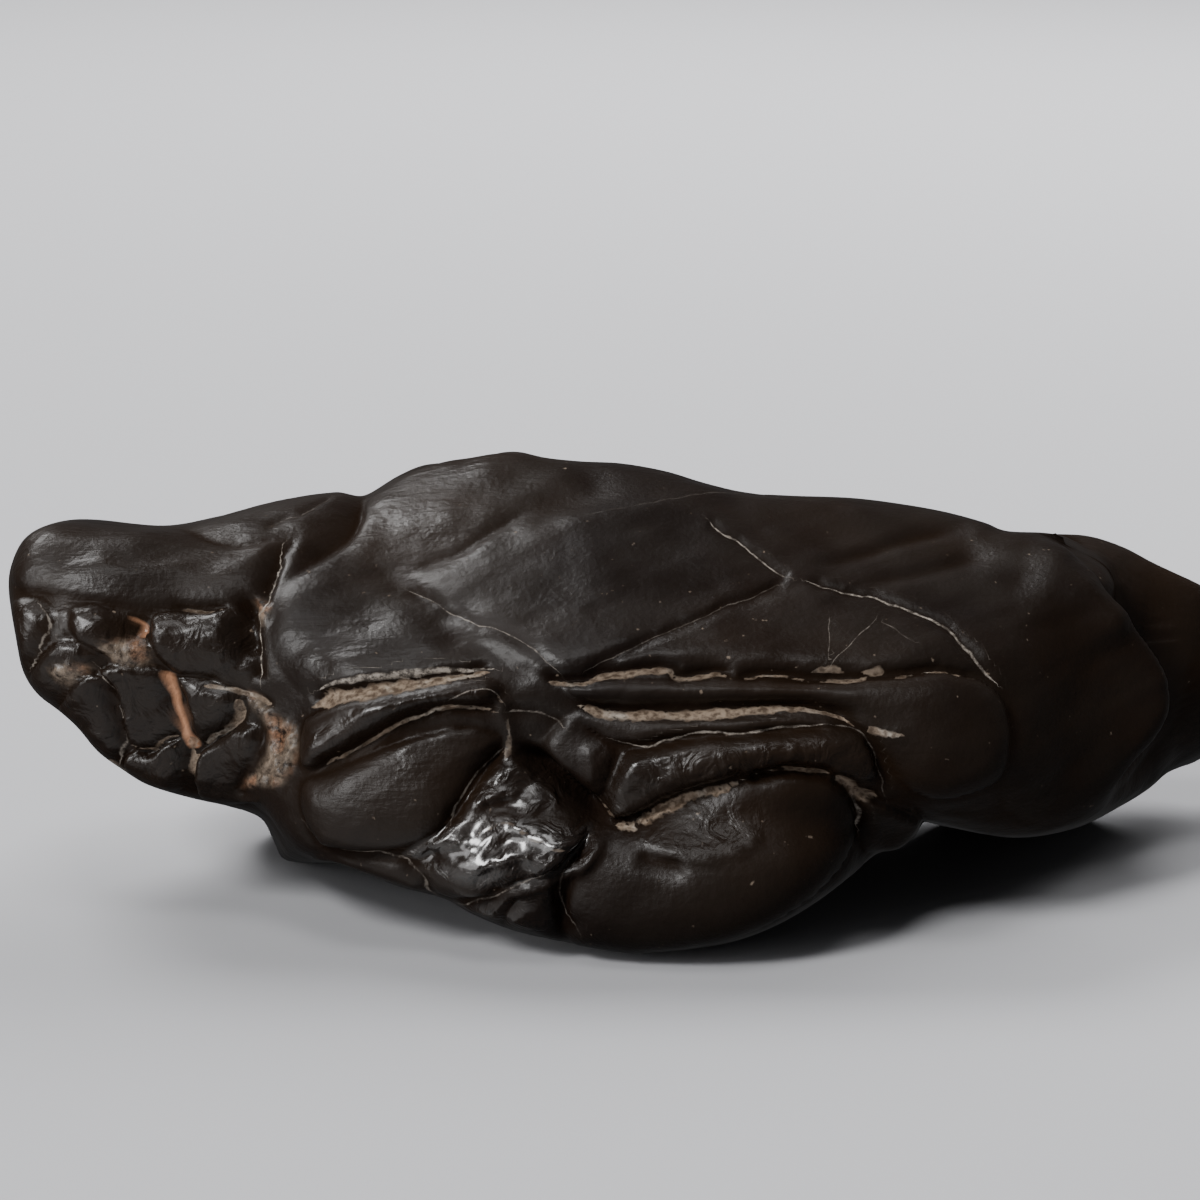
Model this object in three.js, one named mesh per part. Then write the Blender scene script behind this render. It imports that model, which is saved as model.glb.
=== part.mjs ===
// A viewing stone: one long, low piece of dark weathered rock. A flat head juts out at one end, a
// faceted roof slopes to the front, folded lobes hang below it and a smooth boulder closes the other
// end. The stone stands on three worn feet, with an arch of air between them.

import * as THREE from "three";

// Overall size in millimetres
const LENGTH = 354;
const DEPTH = 190;
const HEIGHT = 116;

// The front view: a sheet of 1200 by 1200 units, across and down, seen from a little above
const SHEET_MIDDLE = 600;
const SHEET_FOCUS = 4000;
const VIEW_DISTANCE = 1100;
const VIEW_HEIGHT = 83;
const VIEW_RISE = THREE.MathUtils.degToRad(13);

// How finely the skin is divided, and how rays look for it
const COLUMNS = 70;
const ROWS = 35;
const RAY_START = 1.75;
const RAY_STEP = 0.03;
const RAY_HALVINGS = 14;
const NORMAL_STEP = 0.5;

// The rays leave a short spine inside the stone and spread out as nested eggs
const SPINE_CENTRE = new THREE.Vector3(5, 15, 52);
const SPINE_HALF = 80;
const REACH_SIDE = 92;
const REACH_FRONT = 100;
const REACH_UP = 62;

// Rounding between the flat faces of the body, and between the body and its outline
const FACE_ROUNDING = 14;
const OUTLINE_ROUNDING = 9;
const OUTLINE_ROOM = 2.2;

// Relief fades out where the surface turns edge-on, and no pillow has a sharper edge than this
const FADE_FROM = 0.03;
const FADE_OVER = 0.25;
const LEAST_EDGE = 24;
const LEAST_LIFT = 0.5;

// The stone's outline on the front view, about its middle
const OUTLINE_MIDDLE = [600, 700];
const OUTLINE_STEPS = 720;
const OUTLINE = [
  [10, 588], [14, 560], [26, 536], [48, 523], [80, 518], [115, 521], [150, 526], [185, 524], [240, 509],
  [290, 499], [338, 493], [365, 497], [400, 476], [432, 460], [470, 455], [510, 451], [545, 459], [580, 463],
  [620, 465], [665, 473], [705, 485], [745, 494], [790, 497], [850, 499], [900, 505], [945, 513], [985, 524],
  [1005, 532], [1050, 533], [1085, 535], [1120, 546], [1150, 562], [1178, 575], [1198, 584], [1215, 598],
  [1232, 625], [1241, 672], [1228, 722], [1200, 750], [1175, 770], [1150, 786], [1120, 803], [1080, 823],
  [1040, 834], [1003, 836], [962, 829], [925, 818], [915, 833], [897, 849], [880, 853], [860, 870], [820, 898],
  [780, 922], [740, 938], [700, 946], [640, 953], [600, 949], [560, 941], [510, 928], [470, 911], [445, 897],
  [400, 885], [360, 870], [335, 862], [310, 862], [285, 858], [275, 838], [262, 816], [230, 806], [190, 797],
  [150, 785], [125, 770], [100, 752], [80, 728], [60, 710], [40, 695], [25, 672], [18, 640],
];

// The flat faces of the body: a point on each face and the way it looks
const FACES = [
  { point: [-25, -38, 90], normal: [0.02, -0.515, 0.857] },
  { point: [-25, 10, 114.5], normal: [0.15, -0.28, 0.945] },
  { point: [-25, 10, 114.5], normal: [-0.22, -0.28, 0.93] },
  { point: [-45, 58, 110], normal: [-0.1, 0.48, 0.87] },
  { point: [45, 62, 105], normal: [0.2, 0.46, 0.86] },
  { point: [-40, 94, 60], normal: [-0.22, 0.93, 0.25] },
  { point: [50, 99, 60], normal: [0.2, 0.93, 0.32] },
  { point: [0, 96, 28], normal: [0, 0.72, -0.69] },
  { point: [0, -63, 70], normal: [0, -0.98, 0.2] },
  { point: [0, -57, 62], normal: [0, -0.86, -0.51] },
  { point: [0, 10, 11], normal: [0.05, 0.03, -1] },
  { point: [-84, -36, 50], normal: [-0.8, -0.58, -0.1] },
  { point: [-98, 20, 60], normal: [-0.97, 0.12, -0.05] },
  { point: [-80, 82, 60], normal: [-0.6, 0.78, 0.1] },
  { point: [100, -46, 60], normal: [0.62, -0.76, 0.1] },
  { point: [132, 30, 60], normal: [0.95, 0.05, 0.3] },
  { point: [112, 84, 60], normal: [0.58, 0.8, 0.12] },
];

// Egg-shaped lobes that swell out of the body. Their middles are given on the front view, as across,
// down and millimetres behind the middle of the stone. Turns are in degrees.
const LOBES = [
  { name: "head", middle: [128, 620, 8], radii: [42, 42, 29], yaw: -8, pitch: 2, blend: 10 },
  { name: "head tip", middle: [58, 615, 4], radii: [18, 28, 25], yaw: 0, pitch: 0, blend: 10 },
  { name: "under the head", middle: [178, 716, 6], radii: [44, 38, 23], yaw: 0, pitch: 26, blend: 12 },
  { name: "neck", middle: [275, 640, 18], radii: [46, 56, 38], yaw: 0, pitch: 0, blend: 14 },
  { name: "left foot", middle: [300, 815, 34], radii: [22, 28, 28], yaw: 0, pitch: 0, blend: 22 },
  { name: "left flank", middle: [405, 795, -26], radii: [42, 34, 27], yaw: 0, pitch: 14, blend: 14 },
  { name: "belly", middle: [590, 845, -28], radii: [60, 42, 31], yaw: 0, pitch: 6, blend: 18 },
  { name: "front lobe", middle: [712, 858, -36], radii: [42, 38, 26], yaw: 0, pitch: -8, blend: 12 },
  { name: "apron", middle: [720, 750, -40], radii: [52, 24, 20], yaw: 0, pitch: 0, blend: 10 },
  { name: "end of the ledge", middle: [935, 730, -26], radii: [24, 30, 17], yaw: 0, pitch: 0, blend: 16 },
  { name: "boulder", middle: [1056, 700, 24], radii: [33, 42, 33], yaw: 20, pitch: 0, blend: 8 },
  { name: "right foot", middle: [1034, 780, 50], radii: [36, 38, 31], yaw: 0, pitch: 0, blend: 24 },
  { name: "right shoulder", middle: [1085, 645, 62], radii: [50, 42, 38], yaw: -12, pitch: 0, blend: 10 },
  { name: "right end", middle: [1195, 690, 66], radii: [18, 30, 24], yaw: 0, pitch: 0, blend: 18 },
  { name: "back hump", middle: [748, 620, 82], radii: [46, 34, 34], yaw: 10, pitch: -6, blend: 12 },
  { name: "back knee", middle: [458, 667, 80], radii: [40, 30, 30], yaw: -14, pitch: 8, blend: 12 },
  { name: "back toe", middle: [680, 729, 84], radii: [44, 26, 16], yaw: 0, pitch: 4, blend: 10 },
  { name: "back of the head", middle: [258, 622, 44], radii: [34, 26, 26], yaw: 24, pitch: 0, blend: 12 },
];

// Pillows of rock between the creases of the front, drawn on the front view. Height is in
// millimetres, edge is the width of the rounded rim on the sheet, and a low steep gives a fuller rim.
const FRONT_PILLOWS = [
  { name: "head top", height: 2.6, edge: 40, steep: 0.6, around: [
    [21, 539], [40, 524], [67, 517], [138, 526], [174, 527], [227, 547], [286, 541], [277, 564], [247, 601],
    [184, 611], [116, 604], [46, 593], [18, 587], [12, 567]] },
  { name: "head facet", height: 1.6, edge: 14, steep: 0.6, around: [
    [12, 602], [43, 601], [54, 616], [35, 669], [24, 668], [15, 634]] },
  { name: "head chin", height: 2, edge: 22, steep: 0.7, around: [
    [46, 655], [70, 640], [98, 655], [80, 690], [62, 706], [40, 695], [30, 680]] },
  { name: "knuckle", height: 2.4, edge: 16, steep: 0.6, around: [
    [80, 612], [105, 608], [124, 620], [126, 640], [112, 655], [95, 650], [78, 636]] },
  { name: "cheek", height: 3.4, edge: 26, steep: 0.6, around: [
    [165, 614], [238, 610], [248, 625], [246, 652], [230, 670], [205, 677], [180, 674], [163, 657], [158, 632]] },
  { name: "first plate", height: 1.8, edge: 14, steep: 0.6, around: [
    [62, 707], [101, 673], [117, 692], [126, 726], [125, 780], [92, 762], [72, 735]] },
  { name: "second plate", height: 1.6, edge: 12, steep: 0.6, around: [
    [104, 670], [165, 668], [175, 695], [181, 732], [153, 749], [133, 745], [120, 692]] },
  { name: "third plate", height: 1.6, edge: 12, steep: 0.6, around: [
    [184, 677], [242, 692], [239, 718], [205, 745], [197, 723], [190, 702]] },
  { name: "fourth plate", height: 1.8, edge: 12, steep: 0.6, around: [
    [132, 753], [153, 754], [171, 741], [185, 746], [184, 788], [159, 790], [130, 778]] },
  { name: "fifth plate", height: 2.4, edge: 16, steep: 0.6, around: [
    [206, 752], [226, 735], [255, 725], [260, 744], [240, 787], [263, 800], [220, 803], [202, 783]] },
  { name: "left shoulder", height: 1, edge: 34, steep: 0.8, around: [
    [185, 527], [240, 512], [338, 496], [362, 500], [325, 548], [340, 572], [300, 605], [280, 612], [283, 580],
    [292, 545], [227, 549]] },
  { name: "peak flank", height: 1.8, edge: 55, steep: 0.9, around: [
    [370, 500], [400, 478], [440, 460], [510, 452], [617, 468], [569, 503], [527, 528], [473, 554], [403, 579],
    [345, 572], [330, 545]] },
  { name: "upper roof", height: 1.2, edge: 34, steep: 0.9, around: [
    [622, 468], [747, 495], [674, 509], [626, 522], [569, 531], [540, 530], [577, 503]] },
  { name: "middle roof", height: 2.4, edge: 50, steep: 0.8, around: [
    [500, 556], [569, 533], [633, 536], [693, 529], [750, 560], [786, 583], [700, 623], [640, 650], [570, 677],
    [530, 652], [480, 627], [440, 606], [470, 575]] },
  { name: "left roof", height: 1.6, edge: 44, steep: 0.8, around: [
    [300, 610], [340, 578], [400, 590], [440, 608], [480, 630], [530, 655], [558, 678], [490, 668], [414, 667],
    [318, 690], [298, 690], [278, 650]] },
  { name: "right roof", height: 2.2, edge: 40, steep: 0.8, around: [
    [570, 681], [640, 655], [705, 627], [770, 590], [800, 588], [860, 600], [905, 622], [940, 645], [985, 682],
    [950, 668], [815, 676], [732, 673], [600, 672]] },
  { name: "roof band", height: 1.5, edge: 40, steep: 0.9, around: [
    [720, 535], [747, 498], [800, 498], [900, 506], [1000, 533], [960, 545], [860, 570], [790, 583]] },
  { name: "saddle", height: 1.3, edge: 28, steep: 0.9, around: [
    [803, 585], [870, 571], [960, 551], [1012, 548], [960, 567], [930, 590], [915, 615], [880, 602]] },
  { name: "boulder", height: 4, edge: 60, steep: 0.7, around: [
    [1014, 557], [1049, 560], [1075, 575], [1123, 619], [1158, 668], [1172, 711], [1151, 746], [1114, 789],
    [1080, 805], [1040, 812], [1005, 800], [1000, 770], [1012, 735], [1005, 700], [957, 642], [932, 617],
    [940, 585], [970, 567]] },
  { name: "shoulder top", height: 1.8, edge: 36, steep: 0.9, around: [
    [1012, 545], [1060, 537], [1110, 545], [1175, 582], [1168, 620], [1150, 630], [1125, 600], [1090, 570],
    [1050, 553]] },
  { name: "ledge", height: 3.8, edge: 30, steep: 0.55, around: [
    [566, 687], [600, 680], [732, 681], [815, 683], [895, 678], [950, 672], [985, 685], [1003, 705],
    [1008, 740], [998, 778], [960, 795], [930, 797], [903, 783], [885, 757], [850, 722], [820, 704],
    [720, 701], [610, 704], [580, 700]] },
  { name: "bar under the ledge", height: 2.2, edge: 12, steep: 0.6, around: [
    [575, 712], [640, 718], [700, 719], [780, 716], [840, 722], [850, 727], [790, 728], [730, 735], [665, 738],
    [630, 745], [600, 735]] },
  { name: "roll", height: 4.4, edge: 26, steep: 0.55, around: [
    [609, 797], [625, 760], [646, 751], [708, 737], [774, 731], [849, 729], [868, 747], [876, 774], [852, 782],
    [831, 774], [800, 769], [770, 770], [700, 791], [627, 819], [612, 815]] },
  { name: "fold", height: 2.6, edge: 20, steep: 0.7, around: [
    [545, 740], [570, 715], [600, 738], [615, 756], [604, 790], [590, 797], [570, 780], [550, 760]] },
  { name: "left bank", height: 3, edge: 20, steep: 0.6, around: [
    [304, 727], [315, 714], [356, 700], [419, 689], [475, 679], [497, 683], [499, 694], [480, 707], [427, 711],
    [381, 732], [336, 757], [313, 768], [302, 760]] },
  { name: "left lobe", height: 5.2, edge: 44, steep: 0.55, around: [
    [306, 781], [336, 770], [388, 747], [438, 732], [464, 728], [486, 732], [500, 741], [484, 770], [451, 818],
    [419, 842], [367, 853], [341, 850], [319, 841], [302, 803]] },
  { name: "wrinkled hollow", height: 3.2, edge: 26, steep: 0.7, around: [
    [499, 755], [510, 747], [536, 755], [562, 778], [590, 822], [566, 857], [551, 868], [488, 877], [430, 850],
    [460, 808]] },
  { name: "left skirt", height: 2.2, edge: 18, steep: 0.7, around: [
    [312, 856], [367, 857], [412, 862], [440, 898], [362, 878]] },
  { name: "low egg", height: 2.6, edge: 16, steep: 0.6, around: [
    [414, 865], [464, 861], [497, 878], [475, 893], [453, 898], [436, 891]] },
  { name: "low base", height: 2.8, edge: 24, steep: 0.7, around: [
    [448, 902], [503, 880], [545, 872], [580, 850], [562, 900], [560, 925], [570, 946], [520, 935],
    [475, 918]] },
  { name: "front lobe", height: 6, edge: 60, steep: 0.55, around: [
    [589, 830], [622, 826], [691, 802], [761, 778], [801, 774], [831, 781], [850, 798], [857, 822], [838, 870],
    [779, 916], [718, 943], [649, 955], [608, 956], [572, 950], [563, 924], [566, 897]] },
  { name: "nub", height: 2.6, edge: 14, steep: 0.6, around: [
    [857, 800], [879, 798], [919, 811], [916, 836], [897, 850], [865, 850]] },
];

// Pillows of the back, drawn on the view from behind
const BACK_PILLOWS = [
  { name: "right slope", height: 2.4, edge: 60, steep: 0.8, around: [
    [100, 560], [280, 515], [420, 545], [400, 670], [250, 715], [110, 670]] },
  { name: "middle slope", height: 2.8, edge: 60, steep: 0.8, around: [
    [435, 540], [620, 490], [730, 545], [690, 690], [540, 715], [415, 690]] },
  { name: "left slope", height: 2.2, edge: 50, steep: 0.8, around: [
    [745, 545], [870, 535], [930, 620], [880, 715], [740, 705], [705, 640]] },
  { name: "right flank", height: 4.2, edge: 55, steep: 0.6, around: [
    [50, 700], [240, 735], [330, 800], [280, 900], [130, 920], [20, 840]] },
  { name: "middle flank", height: 5, edge: 60, steep: 0.6, around: [
    [345, 735], [540, 735], [600, 820], [560, 930], [400, 950], [300, 880]] },
  { name: "left flank", height: 4, edge: 50, steep: 0.6, around: [
    [615, 725], [760, 725], [860, 780], [830, 880], [690, 930], [605, 880]] },
  { name: "back of the head", height: 3, edge: 45, steep: 0.7, around: [
    [960, 600], [1100, 580], [1180, 640], [1150, 720], [1020, 740], [940, 680]] },
  { name: "back of the chin", height: 2.6, edge: 30, steep: 0.7, around: [
    [900, 735], [1000, 755], [1080, 750], [1000, 820], [900, 840], [865, 800]] },
  { name: "right end", height: 2.6, edge: 40, steep: 0.7, around: [
    [-80, 640], [60, 600], [110, 680], [40, 760], [-60, 740]] },
];

// Dark brown-black rock with a waxed sheen
const ROCK = new THREE.MeshStandardMaterial({ name: "dark_stone", color: 0x2b2622, roughness: 0.45 });

/** One upright way of looking at the stone: a sheet that points of the stone fall on. */
class View {
  constructor(side) {
    this.toward = new THREE.Vector3(0, -side * Math.cos(VIEW_RISE), Math.sin(VIEW_RISE));
    this.right = new THREE.Vector3(side, 0, 0);
    this.up = new THREE.Vector3().crossVectors(this.toward, this.right);
    this.target = new THREE.Vector3(0, 0, VIEW_HEIGHT);
    this.eye = this.target.clone().addScaledVector(this.toward, VIEW_DISTANCE);
  }

  /** Where a point falls on the sheet, and the millimetres one sheet unit covers there. */
  see(point) {
    const offset = point.clone().sub(this.target);
    const unit = (VIEW_DISTANCE - offset.dot(this.toward)) / SHEET_FOCUS;
    const across = SHEET_MIDDLE + offset.dot(this.right) / unit;
    const down = SHEET_MIDDLE - offset.dot(this.up) / unit;
    return { across, down, unit };
  }

  /** The point that falls on the sheet at a place and lies a depth behind the middle of the stone. */
  place([across, down, depth]) {
    const ray = this.toward.clone().multiplyScalar(-SHEET_FOCUS);
    ray.addScaledVector(this.right, across - SHEET_MIDDLE);
    ray.addScaledVector(this.up, SHEET_MIDDLE - down);
    return this.eye.clone().addScaledVector(ray, (depth - this.eye.y) / ray.y);
  }
}

const FRONT = new View(1);
const BACK = new View(-1);

/** A closed smooth curve through points on a sheet, as a polygon with a few sides per point. */
function smoothLoop(points, sidesPerPoint) {
  const corners = points.map(([across, down]) => new THREE.Vector3(across, down, 0));
  const curve = new THREE.CatmullRomCurve3(corners, true, "catmullrom", 0.5);
  return curve.getPoints(points.length * sidesPerPoint).slice(0, -1);
}

/** The lower of two distances, rounded where they meet. */
function smoothMin(a, b, rounding) {
  const near = Math.max(rounding - Math.abs(a - b), 0) / rounding;
  return Math.min(a, b) - near * near * rounding / 4;
}

/** The higher of two distances, rounded where they meet. */
function smoothMax(a, b, rounding) {
  return -smoothMin(-a, -b, rounding);
}

const facePlanes = FACES.map(({ point, normal }) => new THREE.Plane().setFromNormalAndCoplanarPoint(
  new THREE.Vector3(...normal).normalize(), new THREE.Vector3(...point)));

const eggs = LOBES.map(({ middle, radii, yaw, pitch, blend }) => {
  const turn = new THREE.Euler(0, THREE.MathUtils.degToRad(pitch), THREE.MathUtils.degToRad(yaw), "ZYX");
  const unturn = new THREE.Quaternion().setFromEuler(turn).invert();
  return { middle: FRONT.place(middle), unturn, radii: new THREE.Vector3(...radii), blend };
});

/** How far the outline lies from its middle in each direction, and how squarely it is met there. */
function outlineTable() {
  const loop = smoothLoop(OUTLINE, 6).map((corner) => {
    const across = corner.x - OUTLINE_MIDDLE[0];
    const down = corner.y - OUTLINE_MIDDLE[1];
    return { angle: Math.atan2(down, across), radius: Math.hypot(across, down) };
  });
  loop.sort((a, b) => a.angle - b.angle);
  const radii = [];
  for (let step = 0; step < OUTLINE_STEPS; step += 1) {
    const angle = -Math.PI + 2 * Math.PI * step / OUTLINE_STEPS;
    const next = loop.findIndex((corner) => corner.angle >= angle);
    const after = loop[Math.max(next, 0)];
    const before = loop[next > 0 ? next - 1 : loop.length - 1];
    const span = THREE.MathUtils.euclideanModulo(after.angle - before.angle, 2 * Math.PI);
    const along = THREE.MathUtils.euclideanModulo(angle - before.angle, 2 * Math.PI) / span;
    radii.push(THREE.MathUtils.lerp(before.radius, after.radius, along));
  }
  const turnPerStep = 2 * Math.PI / OUTLINE_STEPS;
  return radii.map((radius, step) => {
    const next = radii[(step + 1) % OUTLINE_STEPS];
    const before = radii[(step + OUTLINE_STEPS - 1) % OUTLINE_STEPS];
    const slope = (next - before) / (2 * turnPerStep * radius);
    return { radius, squareness: 1 / Math.hypot(1, slope) };
  });
}

const outlineRows = outlineTable();

/** Distance from a point to the cone that the outline makes with the eye, in millimetres. */
function outsideOutline(point) {
  const { across, down, unit } = FRONT.see(point);
  const x = across - OUTLINE_MIDDLE[0];
  const y = down - OUTLINE_MIDDLE[1];
  const turn = THREE.MathUtils.euclideanModulo(Math.atan2(y, x) / (2 * Math.PI) + 0.5, 1) * OUTLINE_STEPS;
  const row = Math.floor(turn) % OUTLINE_STEPS;
  const before = outlineRows[row];
  const after = outlineRows[(row + 1) % OUTLINE_STEPS];
  const radius = THREE.MathUtils.lerp(before.radius, after.radius, turn - Math.floor(turn));
  return (Math.hypot(x, y) - radius) * before.squareness * unit;
}

/** Distance from a point to an egg, below nought inside it. */
function outsideEgg(point, egg) {
  const local = point.clone().sub(egg.middle).applyQuaternion(egg.unturn).divide(egg.radii);
  const inner = local.length();
  const outer = local.divide(egg.radii).length();
  return inner * (inner - 1) / Math.max(outer, 1e-9);
}

/** Distance from a point to the stone's big shape, below nought inside it. */
function outsideStone(point) {
  const body = facePlanes
    .map((plane) => plane.distanceToPoint(point))
    .reduce((most, distance) => smoothMax(most, distance, FACE_ROUNDING));
  const lobed = eggs.reduce((least, egg) => smoothMin(least, outsideEgg(point, egg), egg.blend), body);
  return smoothMax(lobed, outsideOutline(point) - OUTLINE_ROOM, OUTLINE_ROUNDING);
}

/** The way the big shape's surface looks at a point. */
function surfaceNormal(point) {
  const here = outsideStone(point);
  const slope = (x, y, z) => outsideStone(point.clone().add(new THREE.Vector3(x, y, z))) - here;
  return new THREE.Vector3(slope(NORMAL_STEP, 0, 0), slope(0, NORMAL_STEP, 0), slope(0, 0, NORMAL_STEP)).normalize();
}

/** How far inside a polygon a place on the sheet lies; nought or less outside it. */
function depthInside(across, down, polygon) {
  let inside = false;
  let nearest = Infinity;
  polygon.forEach((corner, index) => {
    const next = polygon[(index + 1) % polygon.length];
    const sideX = next.x - corner.x;
    const sideY = next.y - corner.y;
    const offX = across - corner.x;
    const offY = down - corner.y;
    const along = (offX * sideX + offY * sideY) / Math.max(sideX * sideX + sideY * sideY, 1e-9);
    const nearestAlong = THREE.MathUtils.clamp(along, 0, 1);
    nearest = Math.min(nearest, Math.hypot(offX - sideX * nearestAlong, offY - sideY * nearestAlong));
    if ((corner.y > down) !== (next.y > down) && across < corner.x + sideX * offY / sideY) {
      inside = !inside;
    }
  });
  return inside ? nearest : -nearest;
}

/** Pillows ready to measure: each with its rounded polygon and the box around it. */
function prepare(pillows) {
  return pillows.map((pillow) => {
    const polygon = smoothLoop(pillow.around, 4);
    const box = new THREE.Box3().setFromPoints(polygon);
    return { ...pillow, polygon, box, edge: Math.max(pillow.edge, LEAST_EDGE) };
  });
}

const frontPillows = prepare(FRONT_PILLOWS);
const backPillows = prepare(BACK_PILLOWS);

/** Height of the pillows at a point of the surface, faded where the view only grazes it. */
function relief(point, normal, view, pillows) {
  const toEye = view.eye.clone().sub(point).normalize();
  const facing = THREE.MathUtils.smoothstep(normal.dot(toEye), FADE_FROM, FADE_FROM + FADE_OVER);
  const { across, down } = view.see(point);
  const place = new THREE.Vector3(across, down, 0);
  const heights = pillows.filter(({ box }) => box.containsPoint(place)).map((pillow) => {
    const inward = THREE.MathUtils.clamp(depthInside(across, down, pillow.polygon) / pillow.edge, 0, 1);
    return pillow.height * (1 - (1 - inward) ** 2) ** pillow.steep;
  });
  return facing * Math.max(0, ...heights);
}

/** The point of the skin on the ray that leaves the spine in one direction of the egg. */
function skinPoint(sideways, frontward, upward) {
  const start = SPINE_CENTRE.clone().addScaledVector(FRONT.right, sideways * SPINE_HALF);
  const ray = FRONT.right.clone().multiplyScalar(sideways * REACH_SIDE);
  ray.addScaledVector(FRONT.toward, frontward * REACH_FRONT);
  ray.addScaledVector(FRONT.up, upward * REACH_UP);
  const at = (reach) => start.clone().addScaledVector(ray, reach);
  let inner = RAY_START;
  while (outsideStone(at(inner)) > 0) {
    inner -= RAY_STEP;
  }
  let outer = inner + RAY_STEP;
  for (let halving = 0; halving < RAY_HALVINGS; halving += 1) {
    const middle = (inner + outer) / 2;
    if (outsideStone(at(middle)) > 0) {
      outer = middle;
    } else {
      inner = middle;
    }
  }
  const point = at(inner);
  const normal = surfaceNormal(point);
  const along = ray.clone().normalize();
  const lift = Math.max(normal.dot(along), LEAST_LIFT);
  const height = relief(point, normal, FRONT, frontPillows) + relief(point, normal, BACK, backPillows);
  point.addScaledVector(along, height / lift);
  point.z = Math.max(point.z, 0);
  return point;
}

/** One half of the skin, front or back: a square grid wrapped over half of the egg of directions. */
function skinHalf(side) {
  const points = [];
  for (let row = 0; row <= ROWS; row += 1) {
    for (let column = 0; column <= COLUMNS; column += 1) {
      const u = 2 * column / COLUMNS - 1;
      const v = 2 * row / ROWS - 1;
      const x = u * Math.sqrt(1 - v * v / 2);
      const y = v * Math.sqrt(1 - u * u / 2);
      const rim = Math.min(x * x + y * y, 1);
      const spread = Math.sqrt(2 - rim);
      points.push(skinPoint(x * spread, side * (1 - rim), y * spread));
    }
  }
  return points;
}

/** Corner numbers of the triangles of one half, each square cut along the line from the middle. */
function halfTriangles(side) {
  const triangles = [];
  for (let row = 0; row < ROWS; row += 1) {
    for (let column = 0; column < COLUMNS; column += 1) {
      const a = row * (COLUMNS + 1) + column;
      const b = a + 1;
      const c = b + COLUMNS + 1;
      const d = c - 1;
      const rising = (2 * column < COLUMNS) === (2 * row < ROWS);
      const pair = rising ? [[a, b, c], [a, c, d]] : [[a, b, d], [b, c, d]];
      triangles.push(...pair.map(([p, q, r]) => (side > 0 ? [p, q, r] : [p, r, q])));
    }
  }
  return triangles;
}

/** The whole skin: both halves joined along the rim that they share. */
function skinGeometry() {
  const front = skinHalf(1);
  const back = skinHalf(-1);
  const points = [...front];
  const backNumber = back.map((point, index) => {
    const row = Math.floor(index / (COLUMNS + 1));
    const column = index % (COLUMNS + 1);
    const onRim = row === 0 || row === ROWS || column === 0 || column === COLUMNS;
    return onRim ? index : points.push(point) - 1;
  });
  const triangles = [
    ...halfTriangles(1),
    ...halfTriangles(-1).map((corners) => corners.map((corner) => backNumber[corner])),
  ];
  const geometry = new THREE.BufferGeometry().setFromPoints(points);
  geometry.setIndex(triangles.flat());
  return geometry;
}

/** Sets the skin's overall size, centred over the ground point below its middle. */
function fitToSize(geometry) {
  geometry.computeBoundingBox();
  const size = geometry.boundingBox.getSize(new THREE.Vector3());
  const centre = geometry.boundingBox.getCenter(new THREE.Vector3());
  geometry.translate(-centre.x, -centre.y, -geometry.boundingBox.min.z);
  geometry.scale(LENGTH / size.x, DEPTH / size.y, HEIGHT / size.z);
  geometry.computeVertexNormals();
}

const skin = skinGeometry();
fitToSize(skin);

const stone = new THREE.Mesh(skin, ROCK);
stone.name = "stone";

const part = new THREE.Group();
part.add(stone);

export default part;
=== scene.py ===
"""A viewing stone: one long, low piece of dark rock, worn smooth, oiled and handled.

The stone's own shape is worked out in millimetres in the frame of its front view. The finished mesh is
then moved into the part's frame, in metres.
"""

import logging
import math
from dataclasses import dataclass
from enum import Enum

import bpy
import numpy as np
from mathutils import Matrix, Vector


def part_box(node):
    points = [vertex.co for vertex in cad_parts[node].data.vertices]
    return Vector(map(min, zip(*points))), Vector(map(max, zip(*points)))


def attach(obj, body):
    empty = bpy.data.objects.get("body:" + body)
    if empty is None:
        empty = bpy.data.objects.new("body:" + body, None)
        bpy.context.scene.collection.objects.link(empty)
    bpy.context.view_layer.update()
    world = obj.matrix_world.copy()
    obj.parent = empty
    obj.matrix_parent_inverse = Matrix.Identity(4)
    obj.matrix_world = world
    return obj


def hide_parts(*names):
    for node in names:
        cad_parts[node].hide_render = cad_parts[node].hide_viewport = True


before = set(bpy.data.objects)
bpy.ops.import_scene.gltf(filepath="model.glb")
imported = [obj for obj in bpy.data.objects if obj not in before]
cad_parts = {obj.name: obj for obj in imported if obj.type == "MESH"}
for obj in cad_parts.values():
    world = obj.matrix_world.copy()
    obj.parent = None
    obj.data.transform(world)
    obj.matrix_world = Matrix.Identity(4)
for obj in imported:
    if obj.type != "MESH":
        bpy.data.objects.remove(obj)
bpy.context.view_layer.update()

LOG = logging.getLogger("viewing_stone")
MM = 0.001

Points = tuple[tuple[float, float], ...]
Triple = tuple[float, float, float]

# What is known about each point of the skin: its place beside the nearest hairline and vein, in half widths,
# how plainly they show there, and how rusty, crumbled, wrinkled, streaked and sunken it is
MARKS = ("hair_side", "hair_share", "vein_side", "vein_share", "rust", "crumble", "rough", "streak", "hollow")
FAR_FROM_LINES = 9.0


def linear(hex_colour: str) -> tuple[float, float, float, float]:
    """Turns an sRGB hex colour into a linear colour.

    Args:
        hex_colour: Six hex digits, with or without a leading hash.

    Returns:
        Linear red, green, blue and an alpha of one.
    """
    digits = hex_colour.lstrip("#")
    shares = [int(digits[i:i + 2], 16) / 255 for i in (0, 2, 4)]
    red, green, blue = [s / 12.92 if s <= 0.04045 else ((s + 0.055) / 1.055) ** 2.4 for s in shares]
    return red, green, blue, 1.0


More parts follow.
